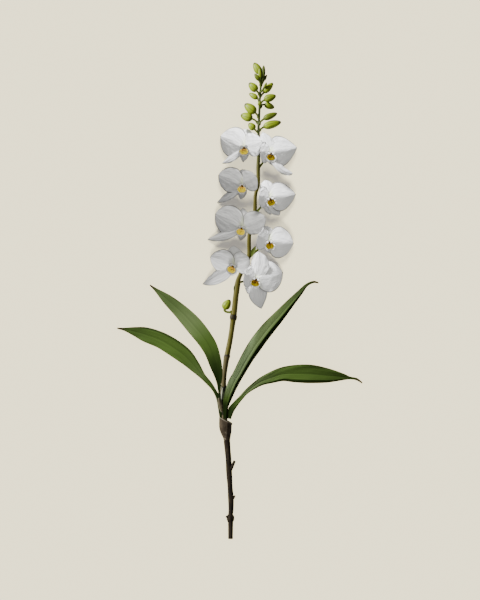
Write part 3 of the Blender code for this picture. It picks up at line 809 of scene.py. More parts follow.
@dataclass(frozen=True)
class StalkFinish:
    """Olive-yellow stalk, brown below its first node and greener among the buds."""

    olive: Colour = (0.065, 0.057, 0.005)
    brown: Colour = (0.051, 0.041, 0.012)
    green: Colour = (0.026, 0.036, 0.005)
    scar: Colour = (0.007, 0.004, 0.002)
    # stalklet: partly the stalklets' own colour, partly painted light
    stalklet: Colour = (0.060, 0.082, 0.010)
    roughness: float = 0.45

    def material(self) -> bpy.types.Material:
        """Builds the material."""
        paint = Painter("stalk", Specular_IOR_Level=0.12)
        _, _, y, _ = paint.spot()
        streak = paint.noise((900.0, 28.0, 900.0), 3.0, 0.6)
        cloud = paint.noise((160.0, 60.0, 160.0), 3.0)
        body = paint.mix((y + (cloud - 0.5) * 0.002).eased(-0.0632, -0.0618), self.brown, self.olive)
        body = paint.mix((y + (cloud - 0.5) * 0.04).eased(0.12, 0.20), body, self.green)
        ring = (1.0 - abs(y + 0.0184).eased(0.0024, 0.0033)).most(1.0 - abs(y + 0.0627).eased(0.0006, 0.0016))
        body = paint.mix(ring * (0.72 + streak * 0.28), body, self.scar)
        # The stalklets and bracts are paler than the stalk: partly their own colour, partly painted light that lifts
        # the shade they lie in.
        body = paint.mix(paint.mark("tint").eased(0.5, 0.6), body, self.stalklet)
        paint.bump(streak + cloud * 0.5, 0.00025, 0.8)
        return paint.done(paint.scaled(body, 0.78 + streak * 0.44), self.roughness + cloud * 0.12)


@dataclass(frozen=True)
class BudFinish:
    """Closed bud: pale yellow-green, greener to its foot, darker in its seams and at its tip."""

    pale: Colour = (0.235, 0.31, 0.010)
    green: Colour = (0.058, 0.080, 0.004)
    dark: Colour = (0.012, 0.013, 0.003)
    roughness: float = 0.42

    def material(self) -> bpy.types.Material:
        """Builds the material."""
        paint = Painter("bud", Specular_IOR_Level=0.3)
        along, across = paint.form()
        cloud = paint.noise((260.0, 260.0, 260.0), 3.0)
        tint = paint.mark("tint")
        seam = 1.0 - abs(((across * (2.0 * math.pi)) * 1.5 + 0.6).sine()).eased(0.0, 0.3)
        grown = (tint + (cloud - 0.5) * 0.5).eased(0.0, 0.9)
        body = paint.mix(grown, self.green, self.pale)
        body = paint.mix(seam * 0.4, body, self.dark)
        tipped = (along + (tint - 0.5) * 0.1 + (cloud - 0.5) * 0.1).eased(0.82, 1.0)
        body = paint.mix(tipped * 0.85, body, self.dark)
        body = paint.mix(1.0 - along.eased(0.0, 0.12), body, self.green)
        fine = paint.noise((1300.0, 1300.0, 1300.0), 2.0)
        paint.bump(cloud * 0.6 + fine * 0.3, 0.0002, 0.8)
        return paint.done(paint.scaled(body, 0.9 + cloud * 0.2), self.roughness + cloud * 0.1)


@dataclass(frozen=True)
class BarkFinish:
    """Dry grey-brown skin with long cracks, pale flecks and darker bands at its rings."""

    name: str = "bark"
    lit: Colour = (0.0185, 0.0122, 0.0058)
    deep: Colour = (0.004, 0.0026, 0.0014)
    fleck: Colour = (0.042, 0.032, 0.018)
    roughness: float = 0.7

    def material(self) -> bpy.types.Material:
        """Builds the material."""
        paint = Painter(self.name, Specular_IOR_Level=0.1)
        crack = paint.noise((760.0, 42.0, 760.0), 4.0, 0.62)
        cloud = paint.noise((210.0, 110.0, 210.0), 4.0, 0.6)
        grain = paint.noise((2100.0, 900.0, 2100.0), 2.0)
        body = paint.mix((crack * 0.65 + cloud * 0.55).eased(0.42, 0.78), self.deep, self.lit)
        body = paint.mix(cloud.eased(0.60, 0.74) * 0.6, body, self.fleck)
        body = paint.mix(1.0 - paint.mark("rim").eased(0.3, 1.0), body, self.fleck)
        paint.bump(crack + cloud * 0.8 + grain * 0.3, 0.00045, 0.9)
        return paint.done(paint.scaled(body, 0.8 + grain * 0.4), self.roughness + cloud * 0.16)


@dataclass
class Palette:
    """Every finish of the plant, built once."""

    petal: bpy.types.Material = field(default_factory=lambda: PetalFinish().material())
    crest: bpy.types.Material = field(default_factory=lambda: CrestFinish().material())
    column: bpy.types.Material = field(default_factory=lambda: ColumnFinish().material())
    leaf: bpy.types.Material = field(default_factory=lambda: LeafFinish().material())
    stalk: bpy.types.Material = field(default_factory=lambda: StalkFinish().material())
    bud: bpy.types.Material = field(default_factory=lambda: BudFinish().material())
    bark: bpy.types.Material = field(default_factory=lambda: BarkFinish().material())
    husk: bpy.types.Material = field(default_factory=lambda: BarkFinish(
        "husk", (0.048, 0.036, 0.022), (0.012, 0.008, 0.004), (0.26, 0.23, 0.17), 0.75).material())
    dry: bpy.types.Material = field(default_factory=lambda: BarkFinish(
        "dry_leaf", (0.070, 0.058, 0.028), (0.030, 0.022, 0.010), (0.13, 0.12, 0.075), 0.6).material())
    margin: bpy.types.Material = field(default_factory=lambda: BarkFinish(
        "dry_margin", (0.19, 0.20, 0.14), (0.12, 0.13, 0.08), (0.22, 0.23, 0.17), 0.6).material())
    coat: bpy.types.Material = field(default_factory=lambda: BarkFinish(
        "leaf_base", (0.010, 0.012, 0.003), (0.002, 0.002, 0.001), (0.020, 0.024, 0.008), 0.5).material())


# Blooms


@dataclass(frozen=True)
class Blade:
    """One petal, sepal or lip, with its sizes in millimetres and its angles in degrees.

    Heading and sweep turn it in plan, slope and curl raise or drop it, and roll and twist lift
    its left edge. Cup raises both edges, and crease says how much of the cup is a fold along
    the middle. Full and sharp shape its outline at the foot and the tip.
    """

    heading: float
    length: float
    width: float
    slope: float = 0.0
    curl: float = 0.0
    roll: float = 0.0
    twist: float = 0.0
    cup: float = -2.0
    crease: float = 0.4
    sweep: float = 0.0
    skew: float = 0.0
    full: float = 0.55
    sharp: float = 0.75
    ruffle: float = 0.5

    def share(self, along: Array) -> Array:
        """Half-width from foot to tip as a share of the widest: a rise and a fall, each a power."""
        widest = self.full / (self.full + self.sharp)
        return (along / widest) ** self.full * ((1.0 - along) / (1.0 - widest)) ** self.sharp

    def line(self, along: Array) -> tuple[Array, Array, Array]:
        """Middle line, found by adding up small steps whose way turns evenly along the blade.

        Args:
            along: Places along from 0 to 1.

        Returns:
            Points of the line, the way across it and the way out of its face.
        """
        steps = np.linspace(0.0, 1.0, PATH_STEPS + 1)
        middle = 0.5 * (steps[1:] + steps[:-1])
        lift = np.radians(self.slope + self.curl * middle)
        turn = np.radians(self.heading + self.sweep * middle)
        ways = np.stack([np.cos(lift) * np.cos(turn), np.cos(lift) * np.sin(turn), np.sin(lift)], axis=1)
        path = np.vstack([np.zeros(3), np.cumsum(ways, axis=0)]) * self.length / PATH_STEPS
        centre = np.stack([np.interp(along, steps, path[:, axis]) for axis in range(3)], axis=-1)
        lift = np.radians(self.slope + self.curl * along)
        turn = np.radians(self.heading + self.sweep * along)
        side = np.stack([-np.sin(turn), np.cos(turn), np.zeros_like(turn)], axis=-1)
        face = np.stack([-np.sin(lift) * np.cos(turn), -np.sin(lift) * np.sin(turn), np.cos(lift)], axis=-1)
        roll = np.radians(self.roll + self.twist * along)[..., None]
        return centre, side * np.cos(roll) + face * np.sin(roll), face * np.cos(roll) - side * np.sin(roll)

    def face(self, along: Array, across: Array, seed: int, lift: float = 0.0) -> Middle:
        """Its middle face: the line, moved across by the half-width and out by cup, rib and ruffle.

        Args:
            along: Places along from 0 to 1.
            across: Places across from -1 at its right edge to 1 at its left.
            seed: Which ruffle.
            lift: How far the whole face stands out.

        Returns:
            The face round the blade's own foot.
        """
        centre, side, out = self.line(along)
        share = self.share(np.clip(along, 0.0, 1.0))
        half = 0.5 * self.width * share * (1.0 + self.skew * across)
        soft = np.sqrt(across ** 2 + FOLD_SOFTNESS ** 2) - FOLD_SOFTNESS
        fold = (1.0 - self.crease) * across ** 2 + self.crease * soft
        wave = ripple(1.6 * along, 0.8 * across, seed) * np.abs(across) ** 3 * share
        rib = RIB_HEIGHT * np.exp(-((across * half / RIB_ACROSS) ** 2)) * (1.0 - along) * share
        height = self.cup * share * fold + self.ruffle * wave + rib + lift
        points = centre + side * (half * across)[..., None] + out * height[..., None]
        return Middle(points, out)


PATH_STEPS = 48
FOLD_SOFTNESS = 0.05
RIB_HEIGHT = 0.25
RIB_ACROSS = 0.9


def petal(heading: float, length: float, width: float, **bends: float) -> Blade:
    """A broad rounded blade."""
    shape = {"full": 0.5, "sharp": 0.62, "cup": -3.0}
    shape.update(bends)
    return Blade(heading, length, width, **shape)


def sepal(heading: float, length: float, width: float, **bends: float) -> Blade:
    """A narrower blade with a drawn-out tip."""
    shape = {"full": 0.6, "sharp": 0.85, "cup": -1.6}
    shape.update(bends)
    return Blade(heading, length, width, **shape)


@dataclass(frozen=True)
class Bloom:
    """One open bloom.

    Args:
        heart: The middle of its face.
        lip_heading: The way that its lip points.
        lean_heading: The way that it leans.
        lean: How far it leans.
        leaves_at: Where its stalklet leaves the stalk, along Y.
        tepals: Outer petal, inner petal, upper sepal, outer sepal, inner sepal.
    """

    heart: Point
    lip_heading: float
    lean_heading: float
    lean: float
    leaves_at: float
    tepals: tuple[Blade, ...]

    def leaned(self, points: Array) -> Array:
        """Points given round the heart, turned by the lean about a level axis and moved to it."""
        return self.turned(points) + np.array(self.heart)

    def turned(self, ways: Array) -> Array:
        """Ways given in the bloom's own frame, turned by its lean."""
        way = math.radians(self.lean_heading)
        axis = np.array([-math.sin(way), math.cos(way), 0.0])
        angle = math.radians(self.lean)
        cross = np.array([[0.0, -axis[2], axis[1]], [axis[2], 0.0, -axis[0]], [-axis[1], axis[0], 0.0]])
        turn = np.eye(3) + math.sin(angle) * cross + (1.0 - math.cos(angle)) * cross @ cross
        return np.asarray(ways, float) @ turn.T

    def core(self) -> Array:
        """The middle of the small round body behind its face."""
        return self.leaned(np.array([0.0, 0.0, -CORE_DROP]))

    def blade_patch(
        self, blade: Blade, rise: float, cells: tuple[int, int], wall: float, seed: int, tint: float = 0.0,
    ) -> Patch:
        """One petal, sepal or lip as a closed body, thick at its foot and thin at its rim.

        Args:
            blade: Its shape.
            rise: How far above the heart it is rooted.
            cells: Rows and cells across.
            wall: Its wall at the middle.
            seed: Which ruffle.
            tint: A number that the finish may read.

        Returns:
            The body in place.
        """
        def middle_at(u: Array, v: Array) -> Middle:
            face = blade.face(u, v, seed)
            points = self.leaned(face.points + np.array([0.0, 0.0, rise]))
            return Middle(points, self.turned(face.out))

        def wall_at(u: Array, v: Array) -> Array:
            return wall * (0.45 + 0.55 * (1.0 - v ** 2)) * (1.0 - 0.35 * u)

        along = 0.5 - 0.5 * np.cos(np.linspace(0.0, math.pi, cells[0] + 1))
        return walled(along, cells[1], middle_at, wall_at, tint, End.POINT)


CORE_ACROSS = 5.6
CORE_DROP = 2.6
PETAL_COUNT = 2
SEPAL_RISE = -1.1
LIP_RISE = 0.9
PETAL_WALL = 0.8
COLUMN_LENGTH = 4.0
COLUMN_ACROSS = 3.0
COLUMN_RISE = 66.0
COLUMN_TAPER = -0.15
PETAL_CELLS = (44, 36)
SEPAL_CELLS = (40, 22)
LIP_CELLS = (28, 26)
LOBE_CELLS = (16, 12)
CREST_ALONG = (0.2, 0.83)
CREST_ACROSS = 0.78
CREST_ROUNDING = 0.55
CREST_LIFT = 1.4
CREST_WALL = 1.0
CREST_CELLS = (24, 24)
KEEL_HEIGHT = 0.45
KEEL_ACROSS = 0.14
KEEL_PLACES = (-0.42, 0.0, 0.42)
# How dark each crest's throat is: partly its own orange and brown, partly painted shade in the throat's opening.
THROAT_DARK_WITH_PAINTED_SHADE = {
    "left_1": 0.4, "left_2": 0.2, "left_3": 0.1, "left_4": 0.35,
    "right_1": 1.0, "right_2": 1.0, "right_3": 0.5, "right_4": 1.0,
}
LIP = Blade(0.0, 11.5, 12.5, slope=-8.0, curl=26.0, cup=2.4, crease=0.0, full=0.5, sharp=0.5, ruffle=0.4)

BLOOMS: dict[str, Bloom] = {
    "left_1": Bloom((5.0, 177.2, 23.0), 272.0, 180.0, 12.0, 172.0, (
        petal(157.0, 35.0, 36.0, slope=-6.0, curl=-24.0, roll=-2.0, sharp=0.55, cup=-5.0, crease=0.5),
        petal(18.0, 21.5, 29.0, slope=3.0, curl=-16.0, roll=-6.0),
        sepal(93.0, 23.0, 20.0, slope=-8.0, curl=-26.0, sharp=0.55),
        sepal(222.0, 35.0, 11.0, slope=2.0, curl=-30.0, roll=26.0, sweep=-18.0),
        sepal(252.0, 24.0, 12.0, slope=-34.0, curl=-18.0),
    )),
    "left_2": Bloom((3.0, 133.6, 23.0), 266.0, 180.0, 12.0, 132.0, (
        petal(159.0, 34.0, 30.0, slope=-2.0, curl=-26.0, roll=-6.0, sharp=0.55),
        petal(34.0, 19.0, 28.0, slope=12.0, curl=-18.0, roll=-6.0),
        sepal(97.0, 20.0, 18.0, slope=-14.0, curl=-20.0, sharp=0.55),
        sepal(216.0, 42.0, 12.0, slope=-8.0, curl=-26.0, roll=20.0, sweep=-12.0),
        sepal(250.0, 24.0, 12.0, slope=-34.0, curl=-18.0),
    )),
    "left_3": Bloom((2.6, 84.8, 23.0), 258.0, 180.0, 12.0, 84.0, (
        petal(155.0, 39.0, 36.0, slope=-4.0, curl=-22.0, roll=-6.0, sharp=0.55),
        petal(24.0, 29.0, 28.0, slope=-2.0, curl=-10.0, roll=-4.0),
        sepal(95.0, 25.0, 19.0, slope=-16.0, curl=-20.0),
        sepal(206.0, 48.0, 13.0, slope=-6.0, curl=-19.0, roll=18.0, sweep=-18.0),
        sepal(248.0, 22.0, 12.0, slope=-34.0, curl=-18.0),
    )),
    "left_4": Bloom((-7.0, 41.0, 23.0), 246.0, 180.0, 12.0, 34.0, (
        petal(162.0, 34.0, 28.0, slope=-8.0, curl=-22.0, roll=-4.0, cup=-3.0, crease=0.3),
        petal(22.0, 19.5, 27.0, slope=-2.0, curl=-8.0, roll=-4.0),
        sepal(98.0, 25.0, 24.0, slope=-12.0, curl=-20.0),
        sepal(217.0, 48.0, 17.0, slope=-6.0, curl=-21.0, roll=14.0, sweep=-18.0),
        sepal(248.0, 17.0, 11.0, slope=-34.0, curl=-10.0),
    )),
    "right_1": Bloom((35.0, 170.4, 23.0), 268.0, 0.0, 14.0, 152.0, (
        petal(11.0, 36.0, 36.0, slope=-2.0, curl=-24.0, sharp=0.85, cup=-6.0, crease=0.7),
        petal(178.0, 15.0, 25.0, slope=22.0, curl=6.0, roll=4.0),
        sepal(108.0, 26.0, 18.0, slope=-2.0, curl=-20.0),
        sepal(-77.0, 40.0, 9.5, slope=22.0, curl=-52.0, roll=-16.0, sweep=74.0, sharp=0.5),
        sepal(298.0, 22.0, 11.0, slope=-34.0, curl=-20.0),
    )),
    "right_2": Bloom((34.0, 118.4, 23.0), 282.0, 0.0, 14.0, 100.0, (
        petal(8.0, 35.0, 34.0, slope=-2.0, curl=-24.0, sharp=0.75, cup=-6.0, crease=0.7),
        petal(172.0, 16.0, 25.0, slope=22.0, curl=6.0, roll=4.0),
        sepal(98.0, 22.0, 18.0, slope=-6.0, curl=-20.0, sharp=0.6),
        sepal(-50.0, 29.0, 18.0, slope=-14.0, curl=-30.0, roll=-10.0),
        sepal(284.0, 24.0, 16.0, slope=-22.0, curl=-24.0),
    )),
    "right_3": Bloom((33.0, 68.6, 23.0), 276.0, 0.0, 14.0, 50.0, (
        petal(-4.0, 33.0, 37.0, slope=-2.0, curl=-24.0, sharp=0.6, cup=-6.0, crease=0.7),
        petal(158.0, 18.0, 27.0, slope=24.0, curl=6.0, roll=4.0),
        sepal(94.0, 19.0, 17.0, slope=-8.0, curl=-20.0, sharp=0.6),
        sepal(-50.0, 24.0, 14.0, slope=-20.0, curl=-30.0, roll=-10.0),
        sepal(288.0, 20.0, 12.0, slope=-36.0, curl=-20.0),
    )),
    "right_4": Bloom((18.0, 25.8, 23.0), 254.0, 0.0, 14.0, 21.0, (
        petal(11.0, 38.0, 38.0, slope=-4.0, curl=-26.0, roll=-4.0, sharp=0.55, cup=-5.0, crease=0.6),
        petal(162.0, 18.0, 26.0, slope=24.0, curl=4.0, roll=4.0),
        sepal(83.0, 31.0, 22.0, slope=8.0, curl=-14.0, sharp=0.6, skew=-0.34),
        sepal(-71.0, 42.0, 25.0, slope=-14.0, curl=-27.0, roll=-6.0, sharp=0.95),
        sepal(250.0, 22.0, 17.0, slope=-24.0, curl=-16.0),
    )),
}


@dataclass
class BloomDresser:
    """Dresses one bloom: its tepals, its lip, its column and its crest."""

    key: str
    bloom: Bloom
    palette: Palette
    seed: int

    def lip(self) -> Blade:
        """The lip's blade, turned to where it points."""
        values = {name: getattr(LIP, name) for name in LIP.__dataclass_fields__}
        values["heading"] = self.bloom.lip_heading
        return Blade(**values)

    def tepals(self) -> Patch:
        """Three sepals and two petals, sepals below."""
        patches = []
        for index, blade in enumerate(self.bloom.tepals):
            is_petal = index < PETAL_COUNT
            cells = PETAL_CELLS if is_petal else SEPAL_CELLS
            rise = 0.0 if is_petal else SEPAL_RISE
            # How faint each blade's painted rim shade is: darkest on the outer petal, faintest on the sepals.
            faint = (0.0, 0.6, 1.0, 1.0, 1.0)[index]
            patches.append(self.bloom.blade_patch(blade, rise, cells, PETAL_WALL, self.seed + index, faint))
        return gathered(patches)

    def lip_lobes(self) -> Patch:
        """The lip's broad middle lobe, and the two small side lobes that stand up round the column."""
        lip = self.lip()
        patches = [self.bloom.blade_patch(lip, LIP_RISE, LIP_CELLS, PETAL_WALL, self.seed + 11, 1.0)]
        for side in (-1.0, 1.0):
            lobe = Blade(
                self.bloom.lip_heading + side * 84.0, 4.6, 3.6, slope=2.0, curl=20.0, roll=-side * 16.0,
                cup=1.0, crease=0.0, full=0.6, sharp=0.5, ruffle=0.2,
            )
            rise = LIP_RISE + 0.3
            patches.append(self.bloom.blade_patch(lobe, rise, LOBE_CELLS, PETAL_WALL, self.seed + 12, 1.0))
        return gathered(patches)

    def column(self) -> Patch:
        """The core behind the face, the column over the lip, and the rounded cap at its end."""
        bloom = self.bloom
        up = bloom.turned(UPWARDS)
        centre = bloom.core()
        core = ovoid(centre - up * 0.5 * CORE_ACROSS, centre + up * CORE_DROP, CORE_ACROSS, 0.0, (17, 24), 0.0,
                     up=np.array([1.0, 0.0, 0.0]))
        way, tilt = math.radians(bloom.lip_heading), math.radians(COLUMN_RISE)
        aim = np.array([math.cos(way) * math.cos(tilt), math.sin(way) * math.cos(tilt), math.sin(tilt)])
        foot, tip = bloom.leaned(-aim), bloom.leaned(aim * COLUMN_LENGTH)
        post = ovoid(foot, tip, COLUMN_ACROSS, COLUMN_TAPER, (25, 28), 0.0, up=up)
        back = bloom.leaned(aim * (COLUMN_LENGTH - 2.2))
        cap = ovoid(back, tip + 0.06 * (tip - foot), COLUMN_ACROSS * 0.86, 0.1, (17, 24), 1.0, 0.1, up=up)
        return gathered([core, post, cap])

    def crest(self) -> Patch:
        """The gold pad in the lip, with three low keels along it."""
        lip = self.lip()

        def middle_at(u: Array, v: Array) -> Middle:
            span = CREST_ALONG[0] + (CREST_ALONG[1] - CREST_ALONG[0]) * u
            narrow = CREST_ACROSS * v * np.sqrt(np.maximum(1.0 - (2.0 * u - 1.0) ** 2 * CREST_ROUNDING, 0.0))
            face = lip.face(span, narrow, self.seed + 11, CREST_LIFT)
            keels = sum(np.exp(-(((v - place) / KEEL_ACROSS) ** 2)) for place in KEEL_PLACES)
            raised = KEEL_HEIGHT * keels * np.sin(math.pi * u)
            points = face.points + face.out * raised[..., None] + np.array([0.0, 0.0, LIP_RISE])
            return Middle(self.bloom.leaned(points), self.bloom.turned(face.out))

        def wall_at(u: Array, v: Array) -> Array:
            return CREST_WALL * np.sqrt(np.maximum(1.0 - v ** 4, 0.0)) * np.sqrt(np.sin(math.pi * u) + 0.02)

        along = np.linspace(0.0, 1.0, CREST_CELLS[0] + 1)
        return walled(along, CREST_CELLS[1], middle_at, wall_at, THROAT_DARK_WITH_PAINTED_SHADE[self.key], End.FLAT)

    def dress(self) -> list[bpy.types.Object]:
        """Puts the bloom's pieces in."""
        bloom_node, crest_node = f"bloom_{self.key}", f"crest_{self.key}"
        palette = self.palette
        return [
            put_in(f"tepals_{self.key}", self.tepals(), palette.petal, [bloom_node]),
            put_in(f"lip_{self.key}", self.lip_lobes(), palette.petal, []),
            put_in(f"column_{self.key}", self.column(), palette.column, []),
            put_in(f"gold_{self.key}", self.crest(), palette.crest, [crest_node]),
        ]


# Stalk, stalklets and buds


STALK = (
    Knot(-17.2, -135.8, 11.0, 4.6),
    Knot(-17.9, -119.5, 12.0, 5.0),
    Knot(-18.7, -97.0, 13.0, 5.6),
    Knot(-17.9, -83.7, 13.7, 5.8),
    Knot(-15.8, -68.0, 14.4, 6.6),
    Knot(-14.8, -63.5, 14.6, 7.4),
    Knot(-14.4, -60.5, 14.7, 6.5),
    Knot(-10.9, -42.6, 15.6, 6.1),
    Knot(-8.2, -24.0, 16.3, 6.4),
    Knot(-7.7, -20.4, 16.5, 8.2),
    Knot(-7.3, -16.4, 16.6, 8.2),
    Knot(-6.7, -13.6, 16.7, 6.7),
    Knot(-4.9, 3.6, 17.1, 6.6),
    Knot(-2.9, 18.4, 17.4, 6.6),
    Knot(-0.8, 27.4, 17.6, 5.2),
    Knot(6.6, 43.0, 17.8, 4.9),
    Knot(10.2, 52.0, 17.9, 4.7),
    Knot(10.6, 74.8, 18.0, 4.5),
    Knot(14.0, 89.0, 18.0, 4.5),
    Knot(17.0, 101.2, 18.0, 4.6),
    Knot(17.6, 120.8, 18.0, 4.1),
    Knot(20.0, 130.0, 17.9, 4.1),
    Knot(21.1, 136.5, 17.8, 4.2),
    Knot(20.9, 150.7, 17.5, 4.4),
    Knot(21.3, 168.0, 17.2, 3.9),
    Knot(21.4, 185.2, 16.8, 3.4),
    Knot(21.3, 199.5, 16.4, 3.1),
    Knot(22.1, 215.0, 15.9, 2.9),
    Knot(23.0, 235.8, 15.0, 2.6),
    Knot(24.2, 251.9, 14.2, 2.2),
    Knot(24.2, 262.0, 13.8, 1.9),
)


@dataclass(frozen=True)
class Bud:
    """A closed bud: where its stalklet leaves the stalk along Y, its foot, its tip and its thickness."""

    leaves_at: float
    foot: Point
    tip: Point
    across: float


BUDS = (
    Bud(-12.6, (-18.6, -9.4, 15.0), (-11.6, 1.4, 17.5), 9.6),
    Bud(193.0, (17.0, 197.4, 18.0), (10.0, 204.4, 19.0), 8.2),
    Bud(194.0, (26.8, 200.6, 16.4), (47.4, 206.4, 13.6), 9.2),
    Bud(203.0, (14.4, 210.2, 14.6), (0.8, 214.4, 12.4), 10.2),
    Bud(201.0, (26.8, 209.6, 17.8), (42.8, 216.2, 17.0), 7.4),
    Bud(209.0, (18.2, 216.6, 17.2), (5.4, 226.8, 17.0), 10.8),
    Bud(221.0, (28.2, 227.0, 12.8), (39.6, 222.8, 10.6), 7.6),
    Bud(222.0, (22.8, 224.4, 17.0), (22.4, 230.4, 19.0), 4.6),
    Bud(226.0, (27.6, 231.4, 17.4), (41.4, 236.4, 17.8), 9.0),
    Bud(227.0, (20.4, 233.4, 14.0), (10.6, 239.4, 11.6), 6.4),
    Bud(234.0, (27.0, 240.0, 13.4), (38.0, 251.4, 11.6), 7.8),
    Bud(240.0, (27.4, 245.0, 17.4), (30.8, 251.4, 18.2), 3.2),
    Bud(235.0, (19.8, 241.8, 16.6), (10.4, 251.0, 17.0), 9.2),
    Bud(246.0, (27.0, 253.6, 13.0), (31.0, 261.0, 12.0), 3.4),
    Bud(246.0, (22.2, 253.8, 16.2), (16.8, 261.8, 17.0), 5.0),
    Bud(250.0, (26.2, 256.6, 14.8), (27.4, 271.6, 13.8), 5.0),
    Bud(252.0, (23.2, 256.0, 16.0), (22.6, 268.4, 16.6), 4.2),
    Bud(254.0, (23.4, 261.8, 12.8), (16.2, 274.8, 11.6), 9.0),
)

# How pale each bud is, from 0 for dark olive to 1 for yellow-green
BUD_TINTS = (0.62, 0.7, 1.0, 1.0, 0.3, 0.95, 0.6, 0.5, 0.55, 0.7, 0.7, 0.42, 0.9, 0.0, 0.3, 0.05, 0.6, 0.8)

BUD_STALKLET = 2.3
LOW_BUD_STALKLET = 2.6
BUD_TAPER = 0.22
BUD_SINK = 0.3
STALKLET_ACROSS = 2.3
STALKLET_REACH = 0.9
STALKLET_BEND = 5.0
SEAT_GAP = 0.3

STALK_SCALES = (
    ((-4.6, 9.0, 18.4), 98.0, 10.0, 4.6),
    ((11.2, 50.0, 18.6), 62.0, 15.0, 5.0),
    ((17.6, 100.0, 18.6), 52.0, 8.0, 3.6),
)
SCALE_SLOPE = 8.0
SCALE_CUP = 0.9


def arc(start: Array, bend: Array, end: Array, rows: int) -> Array:
    """Points from start to end along the curve that a bend pulls: weights (1-s)^2, 2s(1-s), s^2."""
    share = np.linspace(0.0, 1.0, rows)[:, None]
    return start * (1 - share) ** 2 + bend * 2 * share * (1 - share) + end * share ** 2


@dataclass
class StalkDresser:
    """Dresses the flowering stalk: its stem, stalklets, bracts and buds."""

    palette: Palette
    rows: int = 620
    turns: int = 28

    def at(self, distance: float) -> Array:
        """The point of the stalk's middle line at a place along Y."""
        ways = [knot.y for knot in STALK]
        return np.array([
            np.interp(distance, ways, [knot.x for knot in STALK]),
            distance,
            np.interp(distance, ways, [knot.z for knot in STALK]),
        ])

    def stem(self) -> Patch:
        """The stem, with six faint flutes and a slow unevenness."""
        centre, radius = stem_line(STALK, self.rows)
        angle = 2.0 * math.pi * np.arange(self.turns) / self.turns
        along = centre[:, 1:2] / 40.0
        flutes = 1.0 + 0.018 * np.sin(6.0 * angle[None, :] + 0.8 * along)
        uneven = 1.0 + 0.02 * ripple(along, angle[None, :] / (2.0 * math.pi), 5)
        return sweep(centre, radius[:, None] * flutes * uneven, self.turns, End.FLAT, End.FLAT, 0.0, UPWARDS)

    def thin_stem(self, line: Array, across: float, tint: float) -> Patch:
        """A stalklet along a line, a little thicker at its two ends."""
        share = np.linspace(0.0, 1.0, len(line))
        swell = 1.0 + 0.35 * np.exp(-share / 0.08) + 0.25 * np.exp(-(1.0 - share) / 0.1)
        radius = np.broadcast_to((0.5 * across * swell)[:, None], (len(line), 14))
        return sweep(line, radius, 14, End.FLAT, End.FLAT, tint, UPWARDS)

    def bloom_stalklet(self, bloom: Bloom) -> Patch:
        """The short stem from the stalk to just behind a bloom."""
        centre = bloom.core()
        start = self.at(bloom.leaves_at)
        flat = unit(np.array([start[0] - centre[0], start[1] - centre[1], 0.0]))
        back = unit(flat * STALKLET_REACH - UPWARDS)
        end = centre + back * 0.5 * CORE_ACROSS
        return self.thin_stem(arc(start, end + back * STALKLET_BEND, end, 28), STALKLET_ACROSS, 1.0)

    def bud_stalklet(self, index: int, bud: Bud) -> Patch:
        """The thin stem that carries a bud."""
        foot, tip = np.array(bud.foot), np.array(bud.tip)
        start = self.at(bud.leaves_at)
        way = tip - foot
        bend = foot - unit(way) * 0.5 * np.linalg.norm(foot - start)
        thick = LOW_BUD_STALKLET if index == 0 else BUD_STALKLET
        return self.thin_stem(arc(start, bend, foot + way * BUD_SINK, 22), thick, 1.0)

    def bract(self, foot: Array, heading: float, length: float, width: float, slope: float, seed: int) -> Patch:
        """A small pointed scale that hugs the stalk."""
        blade = Blade(heading, length, width, slope=slope, cup=SCALE_CUP, crease=0.0, ruffle=0.15)

        def middle_at(u: Array, v: Array) -> Middle:
            face = blade.face(u, v, seed)
            return Middle(face.points + foot, face.out)

        def wall_at(u: Array, v: Array) -> Array:
            return 0.7 * (0.4 + 0.6 * (1.0 - v ** 2)) * (1.0 - 0.4 * u)

        return walled(np.linspace(0.0, 1.0, 17), 10, middle_at, wall_at, 1.0, End.POINT)

    def bracts(self) -> Patch:
        """The scales at the blooms' stalklets, and a small one under each bud's stalklet."""
        patches = [
            self.bract(np.array(foot), heading, length, width, SCALE_SLOPE, 40 + index)
            for index, (foot, heading, length, width) in enumerate(STALK_SCALES)
        ]
        for index, bud in enumerate(BUDS):
            start, foot = self.at(bud.leaves_at), np.array(bud.foot)
            way = foot - start
            heading = math.degrees(math.atan2(way[1], way[0]))
            low = start + unit(way) * 1.0 - UPWARDS * 0.4
            patches.append(self.bract(low, heading, 4.2, 2.4, 12.0, 60 + index))
        return gathered(patches)

    def buds(self) -> Patch:
        """Every bud, each with its seams and its own tint."""
        patches = []
        for bud, tint in zip(BUDS, BUD_TINTS):
            foot, tip = np.array(bud.foot), np.array(bud.tip)
            patches.append(ovoid(foot, tip, bud.across, BUD_TAPER, (30, 36), tint, 0.09))
        return gathered(patches)

    def dress(self) -> list[bpy.types.Object]:
        """Puts the stalk's pieces in."""
        stems = [self.stem()]
        stems += [self.bloom_stalklet(bloom) for bloom in BLOOMS.values()]
        stems += [self.bud_stalklet(index, bud) for index, bud in enumerate(BUDS)]
        return [
            put_in("stalk", gathered(stems), self.palette.stalk, ["flower_stalk"]),
            put_in("stalk_bracts", self.bracts(), self.palette.stalk, []),
            put_in("buds", self.buds(), self.palette.bud, []),
        ]


# Leaves


@dataclass(frozen=True)
class Rib:
    """A point on a leaf's middle line, the leaf's width there and how far it is turned, in degrees."""

    x: float
    y: float
    z: float
    width: float
    turn: float


LEAF_CHANNEL = 0.06
CHANNEL_POWER = 1.3
TANGENT_STEP = 0.15
LEAF_WALL = 0.9
LEAF_ROWS = 150
LEAF_CELLS = 36
LEAF_FOLDS = {"leaf_right_upper": (0.42, 0.9), "leaf_right_lower": (0.66, 0.8), "leaf_left_lower": (0.8, 0.6)}
NO_FOLD = (1.0, 0.0)
FOLD_ROUND = 0.05

